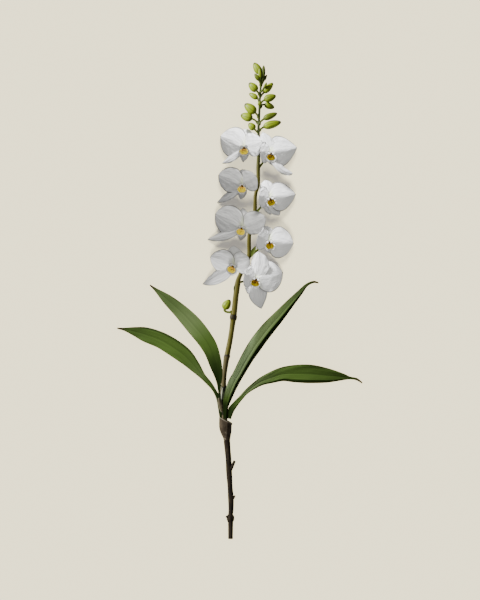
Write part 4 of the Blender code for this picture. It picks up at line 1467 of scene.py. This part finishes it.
LEAVES: dict[str, tuple[Rib, ...]] = {
    "leaf_left_upper": (
        Rib(-20.9, -135.6, 10.6, 4.0, -76.0),
        Rib(-22.2, -120.0, 12.4, 4.6, -74.0),
        Rib(-23.4, -104.0, 16.0, 5.6, -60.0),
        Rib(-24.0, -93.6, 18.4, 7.4, -40.0),
        Rib(-25.0, -84.4, 20.4, 11.2, -22.0),
        Rib(-28.2, -71.0, 22.4, 15.0, -14.0),
        Rib(-33.4, -55.5, 23.4, 17.8, -10.0),
        Rib(-41.6, -42.0, 23.4, 19.5, -8.0),
        Rib(-53.9, -26.8, 22.0, 20.0, -6.0),
        Rib(-67.6, -12.5, 18.6, 16.8, -4.0),
        Rib(-82.7, 0.9, 12.6, 12.3, -2.0),
        Rib(-97.3, 13.0, 4.4, 4.1, 0.0),
        Rib(-104.4, 18.6, 1.0, 1.4, 0.0),
    ),
    "leaf_left_lower": (
        Rib(-22.0, -135.6, 13.6, 3.2, -50.0),
        Rib(-23.4, -122.0, 15.8, 4.4, -22.0),
        Rib(-25.4, -111.0, 16.6, 4.8, -22.0),
        Rib(-29.6, -102.6, 16.8, 4.6, -30.0),
        Rib(-35.0, -95.1, 16.8, 6.2, -30.0),
        Rib(-43.2, -86.2, 17.0, 7.4, -22.0),
        Rib(-51.9, -75.5, 17.6, 13.3, -14.0),
        Rib(-63.0, -63.6, 18.2, 18.4, -8.0),
        Rib(-75.9, -54.0, 17.8, 19.8, -4.0),
        Rib(-91.0, -45.2, 15.8, 19.0, -2.0),
        Rib(-108.1, -38.9, 11.8, 17.2, 0.0),
        Rib(-121.1, -35.3, 7.2, 11.0, 0.0),
        Rib(-133.1, -32.8, 2.4, 4.1, 0.0),
        Rib(-142.4, -31.5, 0.9, 1.4, 0.0),
    ),
    "leaf_right_upper": (
        Rib(-17.4, -135.6, 16.0, 3.6, 0.0),
        Rib(-16.6, -123.0, 16.7, 6.2, 4.0),
        Rib(-14.5, -112.7, 17.4, 10.2, 6.0),
        Rib(-10.8, -102.4, 18.4, 12.0, 8.0),
        Rib(-6.8, -93.2, 19.4, 13.7, 10.0),
        Rib(-1.8, -84.3, 20.6, 13.7, 12.0),
        Rib(5.7, -70.4, 22.6, 15.4, 12.0),
        Rib(13.4, -57.4, 24.2, 16.7, 8.0),
        Rib(21.7, -45.2, 24.6, 16.9, 6.0),
        Rib(32.4, -31.5, 23.6, 16.1, 4.0),
        Rib(45.3, -17.1, 20.4, 13.3, 2.0),
        Rib(58.0, -2.6, 14.8, 9.8, 0.0),
        Rib(69.0, 9.5, 8.2, 6.6, 0.0),
        Rib(77.0, 18.3, 3.4, 3.6, 0.0),
        Rib(85.0, 22.0, 1.4, 2.7, 0.0),
        Rib(91.1, 20.9, 0.9, 1.5, 0.0),
    ),
    "leaf_right_lower": (
        Rib(-12.9, -135.6, 13.9, 5.0, -10.0),
        Rib(-10.2, -125.6, 14.4, 7.4, -4.0),
        Rib(-4.9, -118.3, 14.9, 6.4, 0.0),
        Rib(1.1, -111.5, 15.5, 5.2, 4.0),
        Rib(6.6, -105.4, 16.0, 5.4, 8.0),
        Rib(12.8, -100.2, 16.4, 6.8, 10.0),
        Rib(24.1, -92.8, 17.2, 9.9, 10.0),
        Rib(37.2, -87.8, 18.0, 14.2, 10.0),
        Rib(49.6, -84.1, 18.4, 16.9, 6.0),
        Rib(63.8, -83.6, 17.8, 20.7, 4.0),
        Rib(81.1, -84.0, 15.4, 21.7, 2.0),
        Rib(101.0, -86.0, 10.6, 16.9, 0.0),
        Rib(117.8, -87.6, 5.4, 8.8, 0.0),
        Rib(126.9, -89.0, 2.8, 3.5, 0.0),
        Rib(135.0, -90.5, 1.3, 2.9, 0.0),
        Rib(141.7, -95.0, 0.9, 1.5, 0.0),
    ),
}
LEAF_TINTS = {"leaf_left_upper": 0.36, "leaf_left_lower": 0.1, "leaf_right_upper": 0.35, "leaf_right_lower": 0.05}
LEAF_DARK = {
    "leaf_left_upper": (0.20, 0.88),
    "leaf_left_lower": (0.1, 0.4),
    "leaf_right_upper": (0.06, 0.22),
    "leaf_right_lower": (0.0, 0.3),
}
# How much painted shade darkens each leaf beyond its fold, where the side turns down away from the light.
LEAF_FOLD_SHADE = {"leaf_right_upper": 1.0, "leaf_right_lower": 0.3, "leaf_left_lower": 0.7}
# A painted sheen on each leaf: its middle and reach along, how strong, and how much stronger towards the left edge.
LEAF_PAINTED_SHEENS = {
    "leaf_left_upper": (0.67, 0.10, 0.60, 0.0),
    "leaf_left_lower": (0.4, 0.08, 0.3, 0.0),
    "leaf_right_upper": (0.37, 0.21, 1.22, 0.8),
    "leaf_right_lower": (0.32, 0.15, 0.6, 0.3),
}


@dataclass
class LeafDresser:
    """Dresses one strap leaf."""

    name: str
    ribs: tuple[Rib, ...]
    tint: float
    palette: Palette
    seed: int

    def middle_at(self, along: Array, across: Array) -> Middle:
        """The leaf's middle face: a shallow channel across a smooth line through its ribs.

        Its edges stand up by a share of the width times the place across to a power, its right
        side drops beyond a rounded fold, a narrow groove follows its middle and its margin
        waves a little.

        Args:
            along: Places along from 0 to 1.
            across: Places across from -1 to 1.

        Returns:
            The face.
        """
        place = along * (len(self.ribs) - 1)
        columns = np.array([[rib.x, rib.y, rib.z, rib.width, rib.turn] for rib in self.ribs])
        centre = np.stack([through(columns[:, axis], place) for axis in range(3)], axis=-1)
        width = through(columns[:, 3], place)
        turn = np.radians(through(columns[:, 4], place))[..., None]
        ahead = np.clip(place + TANGENT_STEP, 0.0, len(self.ribs) - 1.0)
        behind = np.clip(place - TANGENT_STEP, 0.0, len(self.ribs) - 1.0)
        steps = [through(columns[:, axis], ahead) - through(columns[:, axis], behind) for axis in range(3)]
        way = unit(np.stack(steps, axis=-1))
        side = unit(np.stack([-way[..., 1], way[..., 0], np.zeros_like(way[..., 0])], axis=-1))
        face = np.cross(way, side)
        leftwards = side * np.cos(turn) + face * np.sin(turn)
        out = face * np.cos(turn) - side * np.sin(turn)
        fold_start, fold_slope = LEAF_FOLDS.get(self.name, NO_FOLD)
        beyond = -across - fold_start
        drop = fold_slope * 0.5 * width * 0.5 * (beyond + np.sqrt(beyond ** 2 + FOLD_ROUND ** 2))
        height = LEAF_CHANNEL * width * np.abs(across) ** CHANNEL_POWER - drop
        groove = -0.25 * np.exp(-((across / 0.07) ** 2)) * eased(along, 0.05, 0.2) * (1.0 - eased(along, 0.85, 1.0))
        veins_height = 0.05 * np.sin(across * math.pi * 9.0) * eased(along, 0.1, 0.3) * (1.0 - eased(along, 0.8, 0.97))
        wave = 0.35 * ripple(3.0 * along, 0.6 * across, self.seed) * np.abs(across) ** 2 * np.minimum(width / 14.0, 1.0)
        height = height + groove + veins_height + wave
        return Middle(centre + leftwards * (0.5 * width * across)[..., None] + out * height[..., None], out)

    def wall_at(self, along: Array, across: Array) -> Array:
        """Thick at the middle and the foot, thin at the margin."""
        return LEAF_WALL * (0.5 + 0.5 * (1.0 - across ** 2)) * (1.0 - 0.3 * along)

    def tint_with_painted_light_at(self, along: Array, across: Array) -> Array:
        """0 where the leaf is darkest, by its foot and in the painted shade beyond its fold, its tint elsewhere, more
        in its painted sheen.
        """
        grown = eased(along, *LEAF_DARK[self.name])
        fold_start = LEAF_FOLDS.get(self.name, NO_FOLD)[0]
        # Painted shade beyond the fold.
        folded = 1.0 - LEAF_FOLD_SHADE.get(self.name, 0.0) * eased(-across, fold_start - 0.12, fold_start + 0.02)
        # Painted sheen: a lighter band along the leaf.
        middle, reach, amount, lean = LEAF_PAINTED_SHEENS[self.name]
        painted_sheen = amount * (1.0 + lean * across) * np.exp(-(((along - middle) / reach) ** 2))
        return grown * folded * (0.5 + self.tint + painted_sheen)

    def dress(self) -> list[bpy.types.Object]:
        """Puts the leaf in."""
        along = np.linspace(0.0, 1.0, LEAF_ROWS + 1)
        patch = walled(along, LEAF_CELLS, self.middle_at, self.wall_at, self.tint_with_painted_light_at, End.FLAT)
        return [put_in(f"{self.name}_blade", patch, self.palette.leaf, [self.name])]


# Cane and husk


CANE = (
    Knot(-11.0, -275.0, 3.4, 5.6),
    Knot(-10.9, -255.0, 4.2, 6.2),
    Knot(-10.9, -252.6, 4.4, 8.8),
    Knot(-10.9, -248.5, 4.6, 8.6),
    Knot(-10.8, -246.5, 4.7, 5.8),
    Knot(-10.3, -240.0, 5.0, 6.1),
    Knot(-10.5, -228.0, 5.6, 6.8),
    Knot(-11.3, -216.0, 6.2, 6.2),
    Knot(-12.6, -197.0, 7.2, 7.0),
    Knot(-13.2, -184.0, 7.9, 6.8),
    Knot(-14.0, -175.0, 8.4, 7.1),
    Knot(-14.8, -165.5, 8.9, 7.4),
    Knot(-15.2, -160.8, 9.2, 7.4),
)

CANE_STUBS = (
    (Knot(-12.0, -197.0, 7.4, 4.2), Knot(-9.2, -191.0, 9.4, 3.8), Knot(-6.2, -184.5, 10.8, 2.8)),
    (Knot(-11.0, -250.2, 5.0, 4.6), Knot(-14.4, -249.6, 6.4, 3.4), Knot(-16.2, -248.6, 6.8, 2.0)),
    (Knot(-10.4, -229.0, 6.0, 4.6), Knot(-7.4, -227.0, 7.0, 3.0), Knot(-5.9, -224.6, 7.4, 1.6)),
)

SHEATH = (
    Knot(-15.2, -160.4, 9.3, 7.6),
    Knot(-15.3, -157.0, 9.5, 9.0),
    Knot(-16.0, -151.5, 9.8, 12.6),
    Knot(-16.7, -146.0, 10.1, 14.6),
    Knot(-16.8, -141.0, 10.4, 14.8),
    Knot(-16.4, -136.2, 10.7, 15.4),
)


@dataclass
class CaneDresser:
    """Dresses the woody cane and the dry husk at its top."""

    palette: Palette
    turns: int = 40

    def rough(self, knots: Sequence[Knot], rows: int, seed: int, depth: float) -> Patch:
        """A stem with a cracked skin: its radius is cut by long furrows and swells unevenly.

        Args:
            knots: Its knots.
            rows: How many rows.
            seed: Which furrows.
            depth: How deep the furrows are, as a share of the radius.

        Returns:
            The body.
        """
        centre, radius = stem_line(knots, rows)
        angle = np.arange(self.turns)[None, :] / self.turns
        along = np.linspace(0.0, len(knots) / 3.0, rows)[:, None]
        furrow = ripple(0.35 * along, np.sin(2.0 * math.pi * angle) * 1.4, seed, 8, 2.4)
        twist = ripple(0.5 * along, np.cos(2.0 * math.pi * angle), seed + 1, 6, 2.0)
        skin = 1.0 - depth * np.abs(furrow) + 0.5 * depth * twist
        return sweep(centre, radius[:, None] * skin, self.turns, End.FLAT, End.FLAT, 0.0, UPWARDS)

    def cane(self) -> Patch:
        """The cane and its three stubs."""
        patches = [self.rough(CANE, 420, 21, 0.035)]
        patches += [self.rough(stub, 40, 23 + index, 0.05) for index, stub in enumerate(CANE_STUBS)]
        return gathered(patches)

    def husk(self) -> Patch:
        """The husk as a cup: up its outside, over its slanted rim and down its inside."""
        centre, radius = stem_line(SHEATH, 90)
        angle = np.arange(self.turns)[None, :] / self.turns
        along = np.linspace(0.0, 2.0, 90)[:, None]
        creases = ripple(0.3 * along, np.sin(2.0 * math.pi * angle) * 1.6, 31, 8, 2.6)
        outer = radius[:, None] * (1.0 - 0.03 * np.abs(creases))
        inner_rows = np.linspace(89, 55, 24).astype(int)
        inner = np.maximum(outer[inner_rows] - 0.8, 0.5)
        line = np.vstack([centre, centre[inner_rows]])
        rings = np.vstack([outer, inner])
        way = unit(np.gradient(centre, axis=0))
        ahead = np.vstack([way, way[inner_rows]])
        side = unit(np.cross(UPWARDS, ahead))
        top = np.cross(ahead, side)
        turn = 2.0 * math.pi * angle[0]
        spoke = -np.cos(turn)[None, :, None] * side[:, None, :] + np.sin(turn)[None, :, None] * top[:, None, :]
        points = line[:, None, :] + spoke * rings[..., None]
        near_rim = np.concatenate([eased(np.arange(90), 50.0, 89.0), np.linspace(1.0, 0.6, 24)])
        slant = RIM_MIDDLE + RIM_SLANT * np.cos(turn)
        points[..., 1] += near_rim[:, None] * slant[None, :]
        rows = len(line)
        place = np.concatenate([np.linspace(0.0, 0.8, 90), np.linspace(0.82, 1.0, 24)])
        u = np.broadcast_to(place[:, None], (rows, self.turns + 1))
        v = np.broadcast_to(np.linspace(0.0, 1.0, self.turns + 1)[None, :], u.shape)
        rim = np.abs(place - 0.81) * HUSK_RIM_REACH
        marks = {
            "rim": np.broadcast_to(rim[:, None], points.shape[:2]),
            "under": np.zeros(points.shape[:2]),
            "tint": np.zeros(points.shape[:2]),
        }
        return wrapped(points, np.stack([u, v], axis=-1), marks, End.FLAT, End.FLAT)

    def dress(self) -> list[bpy.types.Object]:
        """Puts the cane and the husk in."""
        return [
            put_in("cane_bark", self.cane(), self.palette.bark, ["cane"]),
            put_in("husk", self.husk(), self.palette.husk, ["sheath"]),
        ]


HUSK_RIM_REACH = 24.0
RIM_MIDDLE = -1.2
RIM_SLANT = -3.0

# The foot of the leaves

STALK_COAT = (
    Knot(-18.7, -96.4, 13.0, 6.0),
    Knot(-18.5, -104.0, 12.8, 6.6),
    Knot(-18.2, -115.0, 12.3, 7.0),
    Knot(-17.8, -127.0, 11.6, 6.8),
    Knot(-17.4, -138.0, 11.0, 6.2),
)
DRY_FOOT = (
    Knot(-18.4, -131.0, 12.4, 3.4),
    Knot(-18.6, -134.0, 12.6, 6.4),
    Knot(-18.6, -140.0, 12.4, 8.0),
)
COLLAR_DEPTH = 2.6


@dataclass
class FootDresser:
    """Dresses the place where the leaves and the stalk leave the husk."""

    palette: Palette
    turns: int = 36

    def coat(self) -> Patch:
        """The dark leaf base that wraps the stalk, with a notch in the front of its collar."""
        centre, radius = stem_line(STALK_COAT, 60)
        patch = sweep(centre, radius[:, None] * np.ones(self.turns), self.turns, End.FLAT, End.FLAT, 0.0, UPWARDS)
        near_collar = 1.0 - eased(patch.points[:, 1], -104.0, -96.4)
        top = np.clip((patch.points[:, 2] - 13.0) / 3.0, 0.0, 1.0)
        patch.points[:, 1] -= COLLAR_DEPTH * (1.0 - near_collar) * top
        return patch

    def scale(self, foot: Point, tip: Point, width: float, cup: float, seed: int) -> Patch:
        """A small blade from one point to another."""
        way = np.array(tip) - np.array(foot)
        length = float(np.linalg.norm(way))
        heading = math.degrees(math.atan2(way[1], way[0]))
        slope = math.degrees(math.asin(way[2] / length))
        blade = Blade(heading, length, width, slope=slope, cup=cup, crease=0.0, full=0.35, sharp=0.35, ruffle=0.1)

        def middle_at(u: Array, v: Array) -> Middle:
            face = blade.face(u, v, seed)
            return Middle(face.points + np.array(foot), face.out)

        def wall_at(u: Array, v: Array) -> Array:
            return 0.6 * (0.5 + 0.5 * (1.0 - v ** 2)) * (1.0 - 0.3 * u)

        return walled(np.linspace(0.0, 1.0, 25), 12, middle_at, wall_at, 0.0, End.POINT)

    def dry(self) -> Patch:
        """The brown foot in the husk's mouth and the dry scale on the lowest leaf's base."""
        centre, radius = stem_line(DRY_FOOT, 40)
        uneven = 1.0 + 0.04 * ripple(np.linspace(0.0, 1.0, 40)[:, None], np.arange(self.turns)[None, :] / 12.0, 51)
        foot = sweep(centre, radius[:, None] * uneven, self.turns, End.FLAT, End.FLAT, 0.0, UPWARDS)
        scale = self.scale((-24.4, -111.5, 17.6), (-20.6, -128.0, 16.4), 4.8, -0.8, 52)
        return gathered([foot, scale])

    def margin(self) -> Patch:
        """The pale dry margin of the leaf base along the stalk."""
        return self.scale((-19.8, -99.6, 16.4), (-21.8, -115.2, 15.2), 2.1, -0.3, 53)

    def dress(self) -> list[bpy.types.Object]:
        """Puts the foot's pieces in."""
        palette = self.palette
        return [
            put_in("stalk_coat", self.coat(), palette.coat, []),
            put_in("dry_foot", self.dry(), palette.dry, []),
            put_in("coat_margin", self.margin(), palette.margin, []),
        ]


# Studio


@dataclass(frozen=True)
class SunLamp:
    """A soft far light: where it comes from, how strong and wide it is, and what it reaches.

    Args:
        name: The lamp's name.
        heading: The way that it comes from in plan, in degrees from +X.
        height: How high it stands, in degrees.
        strength: Its strength.
        spread: How wide it looks, in degrees.
        colour: Its colour.
    """

    name: str
    heading: float
    height: float
    strength: float
    spread: float
    colour: Colour = (1.0, 1.0, 1.0)

    def build(self, reached: Sequence[bpy.types.Object], blocking: Sequence[bpy.types.Object] = ()) -> None:
        """Puts the lamp in.

        Args:
            reached: The objects that it lights.
            blocking: The objects that cast its shadows, or none named for all of them.
        """
        data = bpy.data.lights.new(self.name, "SUN")
        data.energy = self.strength
        data.angle = math.radians(self.spread)
        data.color = self.colour
        lamp = bpy.data.objects.new(self.name, data)
        heading, height = math.radians(self.heading), math.radians(self.height)
        way = Vector((math.cos(height) * math.cos(heading), math.cos(height) * math.sin(heading), math.sin(height)))
        lamp.rotation_mode = "QUATERNION"
        lamp.rotation_quaternion = way.to_track_quat("Z", "Y")
        bpy.context.scene.collection.objects.link(lamp)
        lamp.light_linking.receiver_collection = self.group("reached", reached)
        if blocking:
            lamp.light_linking.blocker_collection = self.group("blocking", blocking)

    def group(self, purpose: str, members: Sequence[bpy.types.Object]) -> bpy.types.Collection:
        """A collection of objects for the lamp."""
        made = bpy.data.collections.new(f"{self.name}_{purpose}")
        for member in members:
            made.objects.link(member)
        return made


@dataclass
class Studio:
    """A plain pale floor, soft light and the camera above the stem.

    The floor has lamps of its own, so that it stays even and only the flowers shade it. All
    else is lit low from the upper left, but the blooms on the left have lamps of their own.
    """

    camera_height: float = 3.0
    camera_y: float = 0.00115
    view_height: float = 0.69
    sharp_plane: float = 0.02
    sensor: float = 36.0
    floor_colour: Colour = (0.80, 0.80, 0.80)
    sky: Colour = (0.25, 0.25, 0.26)
    gold_key: SunLamp = SunLamp("gold_key", 120.0, 40.0, 8.5, 20.0)
    pale_gold_key: SunLamp = SunLamp("pale_gold_key", 120.0, 40.0, 15.0, 20.0)
    leaf_key: SunLamp = SunLamp("leaf_key", 120.0, 27.0, 14.0, 14.0)
    stem_key: SunLamp = SunLamp("stem_key", 162.0, 24.0, 11.0, 8.0)
    side_fill: SunLamp = SunLamp("side_fill", 0.0, 12.0, 1.1, 100.0)
    bud_key: SunLamp = SunLamp("bud_key", 152.0, 26.0, 10.0, 12.0)
    petal_fill: SunLamp = SunLamp("petal_fill", 90.0, 88.0, 1.2, 110.0, (1.0, 0.985, 0.86))
    soft_fill: SunLamp = SunLamp("soft_fill", 90.0, 88.0, 0.55, 110.0, (1.0, 0.98, 0.82))
    foot_fill: SunLamp = SunLamp("foot_fill", 270.0, 60.0, 0.35, 80.0)
    soft_key: SunLamp = SunLamp("soft_key", 75.0, 24.0, 3.3, 14.0, (1.0, 0.99, 0.94))
    right_key: SunLamp = SunLamp("right_key", 120.0, 27.0, 14.0, 14.0)
    head_key: SunLamp = SunLamp("head_key", 68.0, 24.0, 14.0, 14.0)
    foot_key: SunLamp = SunLamp("foot_key", 256.0, 22.0, 5.0, 14.0)
    faint_key: SunLamp = SunLamp("faint_key", 120.0, 30.0, 0.7, 30.0)
    floor_head: SunLamp = SunLamp("floor_head", 90.0, 50.0, 4.85, 24.0, (1.0, 0.888, 0.518))
    floor_foot: SunLamp = SunLamp("floor_foot", 270.0, 50.0, 4.85, 24.0, (1.0, 0.888, 0.518))
    floor_even: SunLamp = SunLamp("floor_even", 90.0, 89.0, 1.0, 20.0, (0.98, 0.88, 0.70))

    def camera(self) -> None:
        """A camera that looks straight down, its long side along the stem."""
        data = bpy.data.cameras.new("camera")
        data.sensor_width = self.sensor
        data.lens = self.sensor * (self.camera_height - self.sharp_plane) / self.view_height
        eye = bpy.data.objects.new("camera", data)
        eye.location = (0.0, self.camera_y, self.camera_height)
        bpy.context.scene.collection.objects.link(eye)
        bpy.context.scene.camera = eye

    def floor(self) -> bpy.types.Object:
        """A wide pale floor, which throws no light back on the stem."""
        mesh = bpy.data.meshes.new("floor")
        reach = 8.0
        corners = [(-reach, -reach, 0.0), (reach, -reach, 0.0), (reach, reach, 0.0), (-reach, reach, 0.0)]
        mesh.from_pydata(corners, [], [(0, 1, 2, 3)])
        paint = Painter("floor", Specular_IOR_Level=0.0)
        mesh.materials.append(paint.done(self.floor_colour, 0.9))
        made = bpy.data.objects.new("floor", mesh)
        made.visible_diffuse = False
        made.visible_glossy = False
        bpy.context.scene.collection.objects.link(made)
        return made

    def world(self) -> None:
        """An even sky."""
        world = bpy.data.worlds.new("sky")
        world.use_nodes = True
        world.node_tree.nodes["Background"].inputs["Color"].default_value = (*self.sky, 1.0)
        bpy.context.scene.world = world

    def build(
        self,
        blooms: dict[str, list[bpy.types.Object]],
        golds: Sequence[bpy.types.Object],
        leaves: Sequence[bpy.types.Object],
        stems: Sequence[bpy.types.Object],
    ) -> None:
        """Puts the studio in.

        Args:
            blooms: The white pieces of each open bloom.
            golds: The blooms' crests.
            leaves: The leaf blades.
            stems: The stalk, the buds, the cane and what lies at their joints.
        """
        self.camera()
        self.world()
        floor = self.floor()
        white = [piece for pieces in blooms.values() for piece in pieces]
        lowest = [*blooms["left_4"], *blooms["right_4"]]
        highest = [*blooms["left_1"], *blooms["right_1"], *blooms["left_2"]]
        self.floor_head.build([floor], [piece for piece in white if piece not in lowest])
        self.floor_foot.build([floor], [piece for piece in white if piece not in highest])
        self.floor_even.build([floor], [floor])
        self.gold_key.build([piece for piece in golds if "right" in piece.name])
        self.pale_gold_key.build([piece for piece in golds if "left" in piece.name])
        self.leaf_key.build(leaves, leaves)
        bare = [piece for piece in stems if piece.name != "buds"]
        buds = [piece for piece in stems if piece.name == "buds"]
        self.stem_key.build(bare, bare)
        self.side_fill.build([*bare, *leaves])
        self.bud_key.build(buds, buds)
        soft = [blooms["left_2"][0], blooms["left_3"][0]]
        self.petal_fill.build([piece for piece in white if piece not in soft])
        self.soft_fill.build(soft)
        self.soft_key.build(soft)
        self.foot_fill.build([blooms["right_3"][0], blooms["right_4"][0]])
        bright = [piece for key in ("right_1", "right_2", "right_3", "right_4") for piece in blooms[key][:2]]
        self.right_key.build(bright)
        self.head_key.build(blooms["left_1"][:1])
        self.foot_key.build(blooms["left_4"][:1])
        lit = [*bright, *soft, blooms["left_1"][0], blooms["left_4"][0]]
        self.faint_key.build([piece for piece in white if piece not in lit])


def main() -> None:
    """Dresses the stem, piece by piece."""
    logging.basicConfig(level=logging.INFO, format="%(message)s")
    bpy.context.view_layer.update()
    palette = Palette()
    stems = CaneDresser(palette).dress() + FootDresser(palette).dress() + StalkDresser(palette).dress()
    leaves: list[bpy.types.Object] = []
    for index, (name, ribs) in enumerate(LEAVES.items()):
        leaves += LeafDresser(name, ribs, LEAF_TINTS[name], palette, 100 + index).dress()
    blooms: dict[str, list[bpy.types.Object]] = {}
    golds: list[bpy.types.Object] = []
    for index, (key, bloom) in enumerate(BLOOMS.items()):
        *blooms[key], gold = BloomDresser(key, bloom, palette, 200 + 20 * index).dress()
        golds.append(gold)
    Studio().build(blooms, golds, leaves, stems)


if __name__ == "__main__":
    main()
